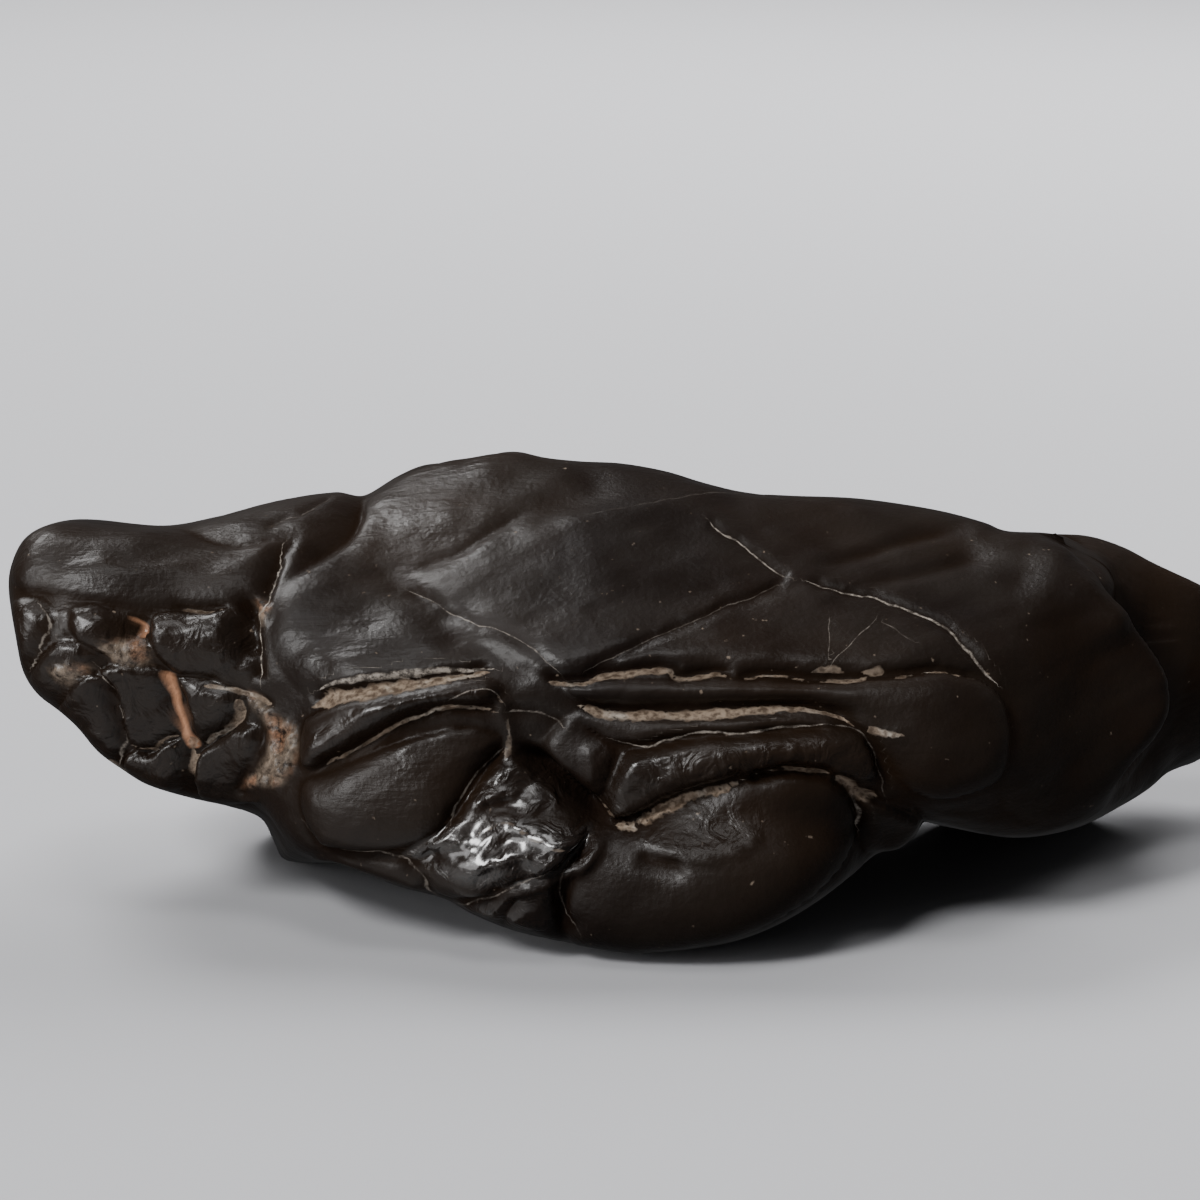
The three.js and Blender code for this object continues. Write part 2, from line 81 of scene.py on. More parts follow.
def smooth_step(values: np.ndarray, start: float, end: float) -> np.ndarray:
    """Eases from nought at start to one at end, by 3t squared less 2t cubed.

    Args:
        values: Values to ease.
        start: Value that gives nought.
        end: Value that gives one.

    Returns:
        The eased shares, from nought to one.
    """
    t = np.clip((values - start) / (end - start), 0, 1)
    return t * t * (3 - 2 * t)


def smooth_min(a: np.ndarray, b: np.ndarray, rounding: float) -> np.ndarray:
    """Takes the lower of two distances, rounded by a parabola where they are within rounding of each other.

    Args:
        a: First distances.
        b: Second distances.
        rounding: Width of the rounding in millimetres.

    Returns:
        The rounded minimum.
    """
    near = np.maximum(rounding - np.abs(a - b), 0) / rounding
    return np.minimum(a, b) - near * near * rounding / 4


def smooth_max(a: np.ndarray, b: np.ndarray, rounding: float) -> np.ndarray:
    """Takes the higher of two distances, rounded where they meet, as the mirrored smooth_min."""
    return -smooth_min(-a, -b, rounding)


def spline(points: Points, steps: int, closed: bool) -> np.ndarray:
    """Runs a Catmull-Rom curve through points: each span is the cubic whose slopes join its neighbours.

    Args:
        points: Points on a sheet, across and down.
        steps: Straight pieces per span.
        closed: Whether the curve runs back to its first point.

    Returns:
        An array of points along the curve, one row each.
    """
    p = np.array(points, float)
    if closed:
        a, b, c, d = np.roll(p, 1, 0), p, np.roll(p, -1, 0), np.roll(p, -2, 0)
    else:
        e = np.vstack([2 * p[0] - p[1], p, 2 * p[-1] - p[-2]])
        a, b, c, d = e[:-3], e[1:-2], e[2:-1], e[3:]
    t = np.linspace(0, 1, steps, endpoint=False)[:, None, None]
    q = 0.5 * (2 * b + (c - a) * t + (2 * a - 5 * b + 4 * c - d) * t ** 2 + (3 * b - a - 3 * c + d) * t ** 3)
    curve = q.transpose(1, 0, 2).reshape(-1, 2)
    return curve if closed else np.vstack([curve, p[-1]])


def value_noise(points: np.ndarray, cell: float, seed: int) -> np.ndarray:
    """Smooth random values: one from -1 to 1 at each corner of a cubic lattice, eased between the corners.

    Args:
        points: Points in millimetres, one row each.
        cell: Lattice spacing in millimetres.
        seed: Number that picks the lattice's values.

    Returns:
        One value per point.
    """
    place = points / cell
    corner = np.floor(place).astype(np.int64)
    t = place - corner
    t = t * t * t * (t * (t * 6 - 15) + 10)
    total = np.zeros(points.shape[:-1])
    for step in np.ndindex(2, 2, 2):
        x, y, z = np.moveaxis(corner + np.array(step), -1, 0)
        mixed = (x * 374761393 + y * 668265263 + z * 2147483647 + seed * 1274126177) & 0xFFFFFFFF
        mixed = ((mixed ^ (mixed >> 13)) * 1274126177) & 0xFFFFFFFF
        mixed = mixed ^ (mixed >> 16)
        share = np.prod(np.where(np.array(step) == 1, t, 1 - t), axis=-1)
        total += share * ((mixed & 0xFFFFFF) / 0x7FFFFF - 1)
    return total


def layered_noise(points: np.ndarray, cell: float, layers: int, seed: int) -> np.ndarray:
    """Adds layers of value noise, each with half the spacing and half the height of the one before.

    Args:
        points: Points in millimetres, one row each.
        cell: Spacing of the coarsest layer in millimetres.
        layers: Number of layers.
        seed: Number that picks the values.

    Returns:
        One value per point, about -1 to 1.
    """
    return sum(value_noise(points, cell / 2 ** k, seed + k) / 2 ** k for k in range(layers))


def ridged_noise(points: np.ndarray, cell: float, layers: int, seed: int) -> np.ndarray:
    """Noise with sharp crests: one less twice the size of each layer of value noise, layers added.

    Args:
        points: Points in millimetres, one row each.
        cell: Spacing of the coarsest layer in millimetres.
        layers: Number of layers.
        seed: Number that picks the values.

    Returns:
        One value per point, about -1 to 1.
    """
    crests = [(1 - 2 * np.abs(value_noise(points, cell / 2 ** k, seed + k))) / 2 ** k for k in range(layers)]
    return sum(crests)


def depth_inside(across: np.ndarray, down: np.ndarray, polygon: np.ndarray) -> np.ndarray:
    """Measures how far inside a polygon places lie: the distance to its nearest side, negative outside.

    Args:
        across: Places across the sheet.
        down: Places down the sheet.
        polygon: Corners of the polygon, one row each.

    Returns:
        One depth per place, in sheet units.
    """
    nearest = np.full(across.shape, np.inf)
    inside = np.zeros(across.shape, bool)
    for (ax, ay), (bx, by) in zip(polygon, np.roll(polygon, -1, 0)):
        side_x, side_y = bx - ax, by - ay
        off_x, off_y = across - ax, down - ay
        along = np.clip((off_x * side_x + off_y * side_y) / max(side_x ** 2 + side_y ** 2, 1e-9), 0, 1)
        nearest = np.minimum(nearest, (off_x - side_x * along) ** 2 + (off_y - side_y * along) ** 2)
        if ay != by:
            inside ^= ((ay > down) != (by > down)) & (across < ax + side_x * off_y / side_y)
    return np.where(inside, 1, -1) * np.sqrt(nearest)


def path_distance(across: np.ndarray, down: np.ndarray, path: np.ndarray) -> tuple[np.ndarray, np.ndarray]:
    """Measures places against a path: the signed distance to it and the share of its length passed.

    Args:
        across: Places across the sheet.
        down: Places down the sheet.
        path: Points along the path, one row each.

    Returns:
        Distances in sheet units, positive on the right-hand side, and shares from nought to one.
    """
    lengths = np.hypot(*np.diff(path, axis=0).T)
    starts = np.concatenate([[0], np.cumsum(lengths)])
    nearest = np.full(across.shape, np.inf)
    side = np.ones(across.shape)
    passed = np.zeros(across.shape)
    for i, ((ax, ay), (bx, by)) in enumerate(zip(path[:-1], path[1:])):
        run_x, run_y = bx - ax, by - ay
        off_x, off_y = across - ax, down - ay
        along = np.clip((off_x * run_x + off_y * run_y) / max(lengths[i] ** 2, 1e-9), 0, 1)
        distance = np.hypot(off_x - run_x * along, off_y - run_y * along)
        closer = distance < nearest
        nearest = np.where(closer, distance, nearest)
        side = np.where(closer, np.where(run_x * off_y - run_y * off_x >= 0, 1, -1), side)
        passed = np.where(closer, (starts[i] + along * lengths[i]) / starts[-1], passed)
    return side * nearest, passed


@dataclass(frozen=True)
class SheetView:
    """An upright way of looking at the stone, as a sheet of 1200 by 1200 units that its points fall on.

    Attributes:
        side: One for the view from the front, minus one for the view from behind.
        rise: Degrees that the eye stands above the middle of the view.
        distance: Millimetres from the eye to the middle of the view.
        height: Millimetres of the middle of the view above the ground.
        focus: Sheet units per unit of slope.
        middle: Sheet units of the middle of the sheet.
    """

    side: int
    rise: float = 13.0
    distance: float = 1100.0
    height: float = 83.0
    focus: float = 4000.0
    middle: float = 600.0

    @property
    def toward(self) -> np.ndarray:
        """Direction from the stone to the eye."""
        rise = math.radians(self.rise)
        return np.array([0, -self.side * math.cos(rise), math.sin(rise)])

    @property
    def right(self) -> np.ndarray:
        """Direction across the sheet."""
        return np.array([self.side, 0.0, 0.0])

    @property
    def up(self) -> np.ndarray:
        """Direction up the sheet."""
        return np.cross(self.toward, self.right)

    @property
    def target(self) -> np.ndarray:
        """Point in the middle of the view."""
        return np.array([0, 0, self.height])

    @property
    def eye(self) -> np.ndarray:
        """Point that the view is seen from."""
        return self.target + self.toward * self.distance

    def see(self, points: np.ndarray) -> tuple[np.ndarray, np.ndarray, np.ndarray]:
        """Finds where points fall on the sheet.

        Args:
            points: Points in millimetres, one row each.

        Returns:
            Places across, places down, and the millimetres that one sheet unit covers there.
        """
        offset = points - self.target
        unit = (self.distance - offset @ self.toward) / self.focus
        return self.middle + offset @ self.right / unit, self.middle - offset @ self.up / unit, unit

    def place(self, across: float, down: float, depth: float) -> np.ndarray:
        """Finds the point that falls on a place of the sheet and lies a depth behind the stone's middle.

        Args:
            across: Place across the sheet.
            down: Place down the sheet.
            depth: Millimetres along +Y.

        Returns:
            The point in millimetres.
        """
        ray = (across - self.middle) * self.right + (self.middle - down) * self.up - self.focus * self.toward
        return self.eye + ray * (depth - self.eye[1]) / ray[1]


FRONT = SheetView(1)
BACK = SheetView(-1)


@dataclass(frozen=True)
class Face:
    """A flat face of the body: a point on it, in millimetres, and the way it looks."""

    point: Triple
    normal: Triple

    def outside(self, points: np.ndarray) -> np.ndarray:
        """Distance of points from the face's plane, along its normal."""
        normal = np.array(self.normal) / np.linalg.norm(self.normal)
        return (points - np.array(self.point)) @ normal


@dataclass(frozen=True)
class Lobe:
    """An egg that swells out of the body.

    Attributes:
        name: What the lobe is.
        middle: Place across and down the front view, and millimetres behind the stone's middle.
        radii: Half sizes in millimetres.
        yaw: Turn about the upright, in degrees.
        pitch: Turn about the level that runs front to back, in degrees.
        blend: Rounding where it joins the rest, in millimetres.
    """

    name: str
    middle: Triple
    radii: Triple
    yaw: float
    pitch: float
    blend: float

    def outside(self, points: np.ndarray) -> np.ndarray:
        """Near distance to the egg: k(k - 1) / g, with k the scaled radius and g its slope.

        Args:
            points: Points in millimetres, one row each.

        Returns:
            One distance per point, negative inside.
        """
        cy, sy = math.cos(math.radians(self.yaw)), math.sin(math.radians(self.yaw))
        cp, sp = math.cos(math.radians(self.pitch)), math.sin(math.radians(self.pitch))
        about_upright = np.array([[cy, -sy, 0], [sy, cy, 0], [0, 0, 1]])
        about_level = np.array([[cp, 0, sp], [0, 1, 0], [-sp, 0, cp]])
        turn = about_upright @ about_level
        local = (points - FRONT.place(*self.middle)) @ turn / np.array(self.radii)
        scaled = np.linalg.norm(local, axis=-1)
        slope = np.linalg.norm(local / np.array(self.radii), axis=-1)
        return scaled * (scaled - 1) / np.maximum(slope, 1e-9)


@dataclass(frozen=True)
class Block:
    """A block with flat sides and worn edges that stands out of the body.

    Attributes:
        name: What the block is.
        sides: For each side, a place across and down the front view, its depth, and the way the side looks.
        wear: Rounding of its edges in millimetres.
        blend: Rounding where it joins the rest, in millimetres.
    """

    name: str
    sides: tuple[tuple[Triple, Triple], ...]
    wear: float
    blend: float

    def outside(self, points: np.ndarray) -> np.ndarray:
        """Distance to the block: the rounded maximum of the distances to its sides.

        Args:
            points: Points in millimetres, one row each.

        Returns:
            One distance per point, negative inside.
        """
        distances = [Face(tuple(FRONT.place(*place)), normal).outside(points) for place, normal in self.sides]
        total = distances[0]
        for distance in distances[1:]:
            total = smooth_max(total, distance, self.wear)
        return total


@dataclass(frozen=True)
class Pillow:
    """A pillow of rock between creases, drawn on a view.

    Attributes:
        name: What the pillow is.
        height: Millimetres that it stands proud.
        edge: Width of its rounded rim in sheet units.
        steep: Power of the rim's curve; a low one gives a fuller rim.
        around: Points of its outline on the sheet.
    """

    name: str
    height: float
    edge: float
    steep: float
    around: Points

    def rise(self, across: np.ndarray, down: np.ndarray) -> np.ndarray:
        """Height at places: height times (1 - (1 - t) squared) to the power steep, t the depth in edges.

        Args:
            across: Places across the sheet.
            down: Places down the sheet.

        Returns:
            Heights in millimetres.
        """
        polygon = spline(self.around, 4, closed=True)
        low, high = polygon.min(0), polygon.max(0)
        near = (across > low[0]) & (across < high[0]) & (down > low[1]) & (down < high[1])
        heights = np.zeros(across.shape)
        inward = np.clip(depth_inside(across[near], down[near], polygon) / self.edge, 0, 1)
        heights[near] = self.height * (1 - (1 - inward) ** 2) ** self.steep
        return heights


@dataclass(frozen=True)
class Zone:
    """A patch of the surface with a soft border, drawn on a view.

    Attributes:
        border: Width of the soft border in sheet units.
        around: Points of its outline on the sheet.
        strength: How strong it is well inside, from nought to one.
    """

    border: float
    around: Points
    strength: float = 1.0

    def share(self, across: np.ndarray, down: np.ndarray) -> np.ndarray:
        """How fully places lie in the zone, eased over its border: nought outside, one well inside."""
        inward = depth_inside(across, down, spline(self.around, 3, closed=True))
        return self.strength * smooth_step(inward, 0, self.border)


class Mark(Enum):
    """What a line on the stone is filled with."""

    BARE = "bare rock"
    HAIRLINE = "pale hairline"
    VEIN = "cream vein"
    RUST = "rusty vein"


@dataclass(frozen=True)
class Stroke:
    """A crease, crack, vein or ridge that runs along a path on a view.

    Attributes:
        name: What the line is.
        mark: What fills it.
        half_widths: Half widths of the filling at the start, the middle and the end, in sheet units.
        lift: Millimetres that it stands proud, negative for a groove.
        reaches: Half widths of the groove or ridge on its left-hand and right-hand sides, in sheet units.
        path: Points along the line on the sheet.
        strength: How plainly the filling shows, from nought to one.
        aside: Sheet units that the groove or ridge lies to the left of the filling.
    """

    name: str
    mark: Mark
    half_widths: Triple
    lift: float
    reaches: tuple[float, float]
    path: Points
    strength: float = 1.0
    aside: float = 0.0

    @classmethod
    def bare(cls, name: str, lift: float, reaches: tuple[float, float], path: Points) -> "Stroke":
        """Makes a crease or ridge of bare rock, with nothing in it."""
        return cls(name, Mark.BARE, (1, 1, 1), lift, reaches, path)


# The flat faces of the body, round it from the roof
STONE_FACES = (
    Face((-25, -38, 90), (0.02, -0.515, 0.857)),
    Face((-40, -43, 88), (-0.17, -0.5, 0.85)),
    Face((-25, 10, 114.5), (0.15, -0.28, 0.945)),
    Face((-25, 10, 114.5), (-0.22, -0.28, 0.93)),
    Face((-45, 58, 110), (-0.1, 0.48, 0.87)),
    Face((45, 62, 105), (0.2, 0.46, 0.86)),
    Face((-40, 94, 60), (-0.22, 0.93, 0.25)),
    Face((50, 99, 60), (0.2, 0.93, 0.32)),
    Face((0, 96, 28), (0, 0.72, -0.69)),
    Face((0, -63, 70), (0, -0.98, 0.2)),
    Face((0, -57, 62), (0, -0.86, -0.51)),
    Face((0, 10, 11), (0.05, 0.03, -1)),
    Face((-84, -36, 50), (-0.8, -0.58, -0.1)),
    Face((-98, 20, 60), (-0.97, 0.12, -0.05)),
    Face((-80, 82, 60), (-0.6, 0.78, 0.1)),
    Face((100, -46, 60), (0.62, -0.76, 0.1)),
    Face((132, 30, 60), (0.95, 0.05, 0.3)),
    Face((112, 84, 60), (0.58, 0.8, 0.12)),
)

# The eggs that swell out of the body, from the head along the front to the right-hand end, then the back
STONE_LOBES = (
    Lobe("head", (128, 620, 8), (42, 42, 29), -8, 2, 10),
    Lobe("head tip", (58, 615, 4), (18, 28, 25), 0, 0, 10),
    Lobe("under the head", (178, 716, 6), (44, 38, 23), 0, 26, 12),
    Lobe("neck", (275, 640, 18), (46, 56, 38), 0, 0, 14),
    Lobe("left foot", (300, 815, 34), (22, 28, 28), 0, 0, 22),
    Lobe("left flank", (405, 795, -26), (42, 34, 27), 0, 14, 14),
    Lobe("belly", (590, 845, -28), (60, 42, 31), 0, 6, 18),
    Lobe("front lobe", (712, 858, -36), (42, 38, 26), 0, -8, 12),
    Lobe("apron", (720, 750, -40), (52, 24, 20), 0, 0, 10),
    Lobe("end of the ledge", (935, 730, -26), (24, 30, 17), 0, 0, 16),
    Lobe("right foot", (1034, 780, 50), (36, 38, 31), 0, 0, 24),
    Lobe("right shoulder", (1085, 645, 72), (50, 42, 38), -12, 0, 18),
    Lobe("saddle", (1060, 584, 30), (14, 24, 9), 0, 0, 16),
    Lobe("right end", (1212, 690, 82), (18, 30, 24), 0, 0, 18),
    Lobe("back hump", (748, 620, 82), (46, 34, 34), 10, -6, 12),
    Lobe("back knee", (458, 667, 80), (40, 30, 30), -14, 8, 12),
    Lobe("back toe", (680, 729, 84), (44, 26, 16), 0, 4, 10),
    Lobe("back of the head", (258, 622, 44), (34, 26, 26), 24, 0, 12),
)

# The boulder at the right-hand end: its front, two slopes up to the roof, its left-hand side, its arris at
# the right, the slopes above and below the arris, its underside, its top and its buried back
BOULDER = Block("boulder", (
    ((1050, 690, -20), (0.31, -0.93, 0.19)),
    ((1045, 600, -8), (-0.06, -0.7, 0.71)),
    ((985, 575, -1.4), (0.08, -0.3, 0.95)),
    ((985, 700, 0), (-1, 0, 0)),
    ((1170, 700, -8), (0.93, 0.3, 0.1)),
    ((1112, 614, -9), (0.7, 0.1, 0.7)),
    ((1147, 752, -13), (0.66, 0.0, -0.75)),
    ((1060, 822, 14), (0.1, -0.5, -0.86)),
    ((1043, 555, -4), (0.1, 0.05, 1.0)),
    ((1060, 690, 74), (0, 1, 0)),
), 6, 8)

# The outline of the whole stone on the front view, from the tip of the head over the top
OUTLINE_MIDDLE = (600, 700)
OUTLINE: Points = (
    (10, 588), (14, 560), (26, 536), (48, 523), (80, 518), (115, 521), (150, 526), (185, 524), (240, 509),
    (290, 499), (338, 493), (365, 497), (400, 476), (432, 460), (470, 455), (510, 451), (545, 459),
    (580, 463), (620, 465), (665, 473), (705, 485), (745, 494), (790, 497), (850, 499), (900, 505),
    (945, 513), (985, 524), (1005, 532), (1050, 533), (1085, 535), (1120, 546), (1150, 562), (1178, 575),
    (1198, 584), (1222, 600), (1238, 628), (1248, 672), (1234, 720), (1204, 750), (1175, 770), (1150, 786),
    (1120, 803), (1080, 823), (1040, 834), (1003, 836), (962, 829), (925, 818), (915, 833), (897, 849),
    (880, 853), (860, 870), (820, 898), (780, 922), (740, 938), (700, 946), (640, 953), (600, 949),
    (560, 941), (510, 928), (470, 911), (445, 897), (400, 885), (360, 870), (335, 862), (310, 862),
    (285, 858), (275, 838), (262, 816), (230, 806), (190, 797), (150, 785), (125, 770), (100, 752),
    (80, 728), (60, 710), (40, 695), (25, 672), (18, 640),
)

# The rock between the creases of the front: the head and its plates, the roof and the boulder, the ledge and
# what hangs below it
FRONT_PILLOWS = (
    Pillow("head top", 2.6, 40, 0.6, (
        (21, 539), (40, 524), (67, 517), (138, 526), (174, 527), (227, 547), (286, 541), (277, 564),
        (247, 601), (184, 611), (116, 604), (46, 593), (18, 587), (12, 567))),
    Pillow("head facet", 1.6, 14, 0.6, ((12, 602), (43, 601), (54, 616), (35, 669), (24, 668), (15, 634))),
    Pillow("head chin", 2, 22, 0.7, (
        (46, 655), (70, 640), (98, 655), (80, 690), (62, 706), (40, 695), (30, 680))),
    Pillow("knuckle", 2.4, 16, 0.6, (
        (80, 612), (105, 608), (124, 620), (126, 640), (112, 655), (95, 650), (78, 636))),
    Pillow("cheek", 3.4, 26, 0.6, (
        (165, 614), (238, 610), (248, 625), (246, 652), (230, 670), (205, 677), (180, 674), (163, 657),
        (158, 632))),
    Pillow("first plate", 2.4, 14, 0.6, (
        (62, 707), (101, 673), (117, 692), (126, 726), (125, 780), (92, 762), (72, 735))),
    Pillow("second plate", 2.2, 12, 0.6, (
        (104, 670), (165, 668), (175, 695), (181, 732), (153, 749), (133, 745), (120, 692))),
    Pillow("third plate", 2.2, 12, 0.6, (
        (184, 677), (242, 692), (239, 718), (205, 745), (197, 723), (190, 702))),
    Pillow("fourth plate", 2.6, 12, 0.6, (
        (132, 753), (153, 754), (171, 741), (185, 746), (184, 788), (159, 790), (130, 778))),
    Pillow("fifth plate", 3.4, 16, 0.6, (
        (206, 752), (226, 735), (255, 725), (260, 744), (240, 787), (263, 800), (220, 803), (202, 783))),
    Pillow("left shoulder", 1.3, 30, 1.1, (
        (180, 515), (240, 495), (338, 480), (364, 490), (350, 528), (330, 546), (306, 560), (284, 588),
        (290, 545), (245, 544), (204, 539))),
    Pillow("roof", 2.0, 34, 1.1, (
        (292, 580), (336, 548), (354, 528), (372, 490), (440, 440), (510, 435), (620, 445), (750, 480),
        (945, 495), (1008, 510), (1060, 510), (1135, 530), (1205, 575), (1200, 640), (1180, 716),
        (1145, 758), (1115, 796), (1080, 818), (1040, 825), (1005, 810), (998, 770), (1012, 735),
        (1008, 700), (994, 684), (940, 668), (815, 676), (732, 673), (600, 671), (560, 678), (490, 667),
        (414, 667), (318, 690), (298, 690), (270, 650), (276, 612))),
    Pillow("boulder", 1.4, 50, 0.8, (
        (1004, 556), (1046, 558), (1091, 585), (1133, 635), (1163, 683), (1173, 716), (1145, 752),
        (1115, 791), (1080, 812), (1040, 820), (1005, 806), (1000, 770), (1014, 735), (1008, 700),
        (985, 668), (965, 648), (947, 630), (926, 617), (899, 607), (862, 596), (862, 590), (899, 583),
        (935, 574), (974, 563))),
    Pillow("ledge", 3.8, 30, 0.55, (
        (566, 687), (600, 680), (732, 681), (815, 683), (895, 678), (950, 672), (985, 685), (1003, 705),
        (1008, 740), (998, 778), (960, 795), (930, 797), (903, 783), (885, 757), (850, 722), (820, 704),
        (720, 701), (610, 704), (580, 700))),
    Pillow("bar under the ledge", 2.2, 12, 0.6, (
        (575, 712), (640, 718), (700, 719), (780, 716), (840, 722), (850, 727), (790, 728), (730, 735),
        (665, 738), (630, 745), (600, 735))),
    Pillow("roll", 4.4, 26, 0.55, (
        (609, 797), (625, 760), (646, 751), (708, 737), (774, 731), (849, 729), (868, 747), (876, 774),
        (852, 782), (831, 774), (800, 769), (770, 770), (700, 791), (627, 819), (612, 815))),
    Pillow("fold", 2.6, 20, 0.7, (
        (545, 740), (570, 715), (600, 738), (615, 756), (604, 790), (590, 797), (570, 780), (550, 760))),
    Pillow("left bank", 4.4, 22, 0.6, (
        (304, 727), (315, 714), (356, 700), (419, 689), (475, 679), (497, 683), (499, 694), (480, 707),
        (427, 711), (381, 732), (336, 757), (313, 768), (302, 760))),
    Pillow("left lobe", 5.2, 44, 0.55, (
        (306, 781), (336, 770), (388, 747), (438, 732), (464, 728), (486, 732), (500, 741), (484, 770),
        (451, 818), (419, 842), (367, 853), (341, 850), (319, 841), (302, 803))),
    Pillow("wrinkled hollow", 3.2, 26, 0.7, (
        (499, 755), (510, 747), (536, 755), (562, 778), (590, 822), (566, 857), (551, 868), (488, 877),
        (430, 850), (460, 808))),
    Pillow("left skirt", 2.2, 18, 0.7, ((312, 856), (367, 857), (412, 862), (440, 898), (362, 878))),
    Pillow("low egg", 2.6, 16, 0.6, (
        (414, 865), (464, 861), (497, 878), (475, 893), (453, 898), (436, 891))),
    Pillow("low base", 2.8, 24, 0.7, (
        (448, 902), (503, 880), (545, 872), (580, 850), (562, 900), (560, 925), (570, 946), (520, 935),
        (475, 918))),
    Pillow("front lobe", 4.6, 50, 0.6, (
        (589, 830), (622, 826), (691, 802), (761, 778), (801, 774), (831, 781), (850, 798), (857, 822),
        (838, 870), (779, 916), (718, 943), (649, 955), (608, 956), (572, 950), (563, 924), (566, 897))),
    Pillow("nub", 2.6, 14, 0.6, ((857, 800), (879, 798), (919, 811), (916, 836), (897, 850), (865, 850))),
)

# The rock between the creases of the back
BACK_PILLOWS = (
    Pillow("right slope", 2.4, 60, 0.8, (
        (100, 560), (280, 515), (420, 545), (400, 670), (250, 715), (110, 670))),
    Pillow("middle slope", 2.8, 60, 0.8, (
        (435, 540), (620, 490), (730, 545), (690, 690), (540, 715), (415, 690))),
    Pillow("left slope", 2.2, 50, 0.8, (
        (745, 545), (870, 535), (930, 620), (880, 715), (740, 705), (705, 640))),
    Pillow("right flank", 4.2, 55, 0.6, (
        (50, 700), (240, 735), (330, 800), (280, 900), (130, 920), (20, 840))),
    Pillow("middle flank", 5, 60, 0.6, (
        (345, 735), (540, 735), (600, 820), (560, 930), (400, 950), (300, 880))),
    Pillow("left flank", 4, 50, 0.6, (
        (615, 725), (760, 725), (860, 780), (830, 880), (690, 930), (605, 880))),
    Pillow("back of the head", 3, 45, 0.7, (
        (960, 600), (1100, 580), (1180, 640), (1150, 720), (1020, 740), (940, 680))),
    Pillow("back of the chin", 2.6, 30, 0.7, (
        (900, 735), (1000, 755), (1080, 750), (1000, 820), (900, 840), (865, 800))),
    Pillow("right end", 2.6, 40, 0.7, ((-80, 640), (60, 600), (110, 680), (40, 760), (-60, 740))),
)

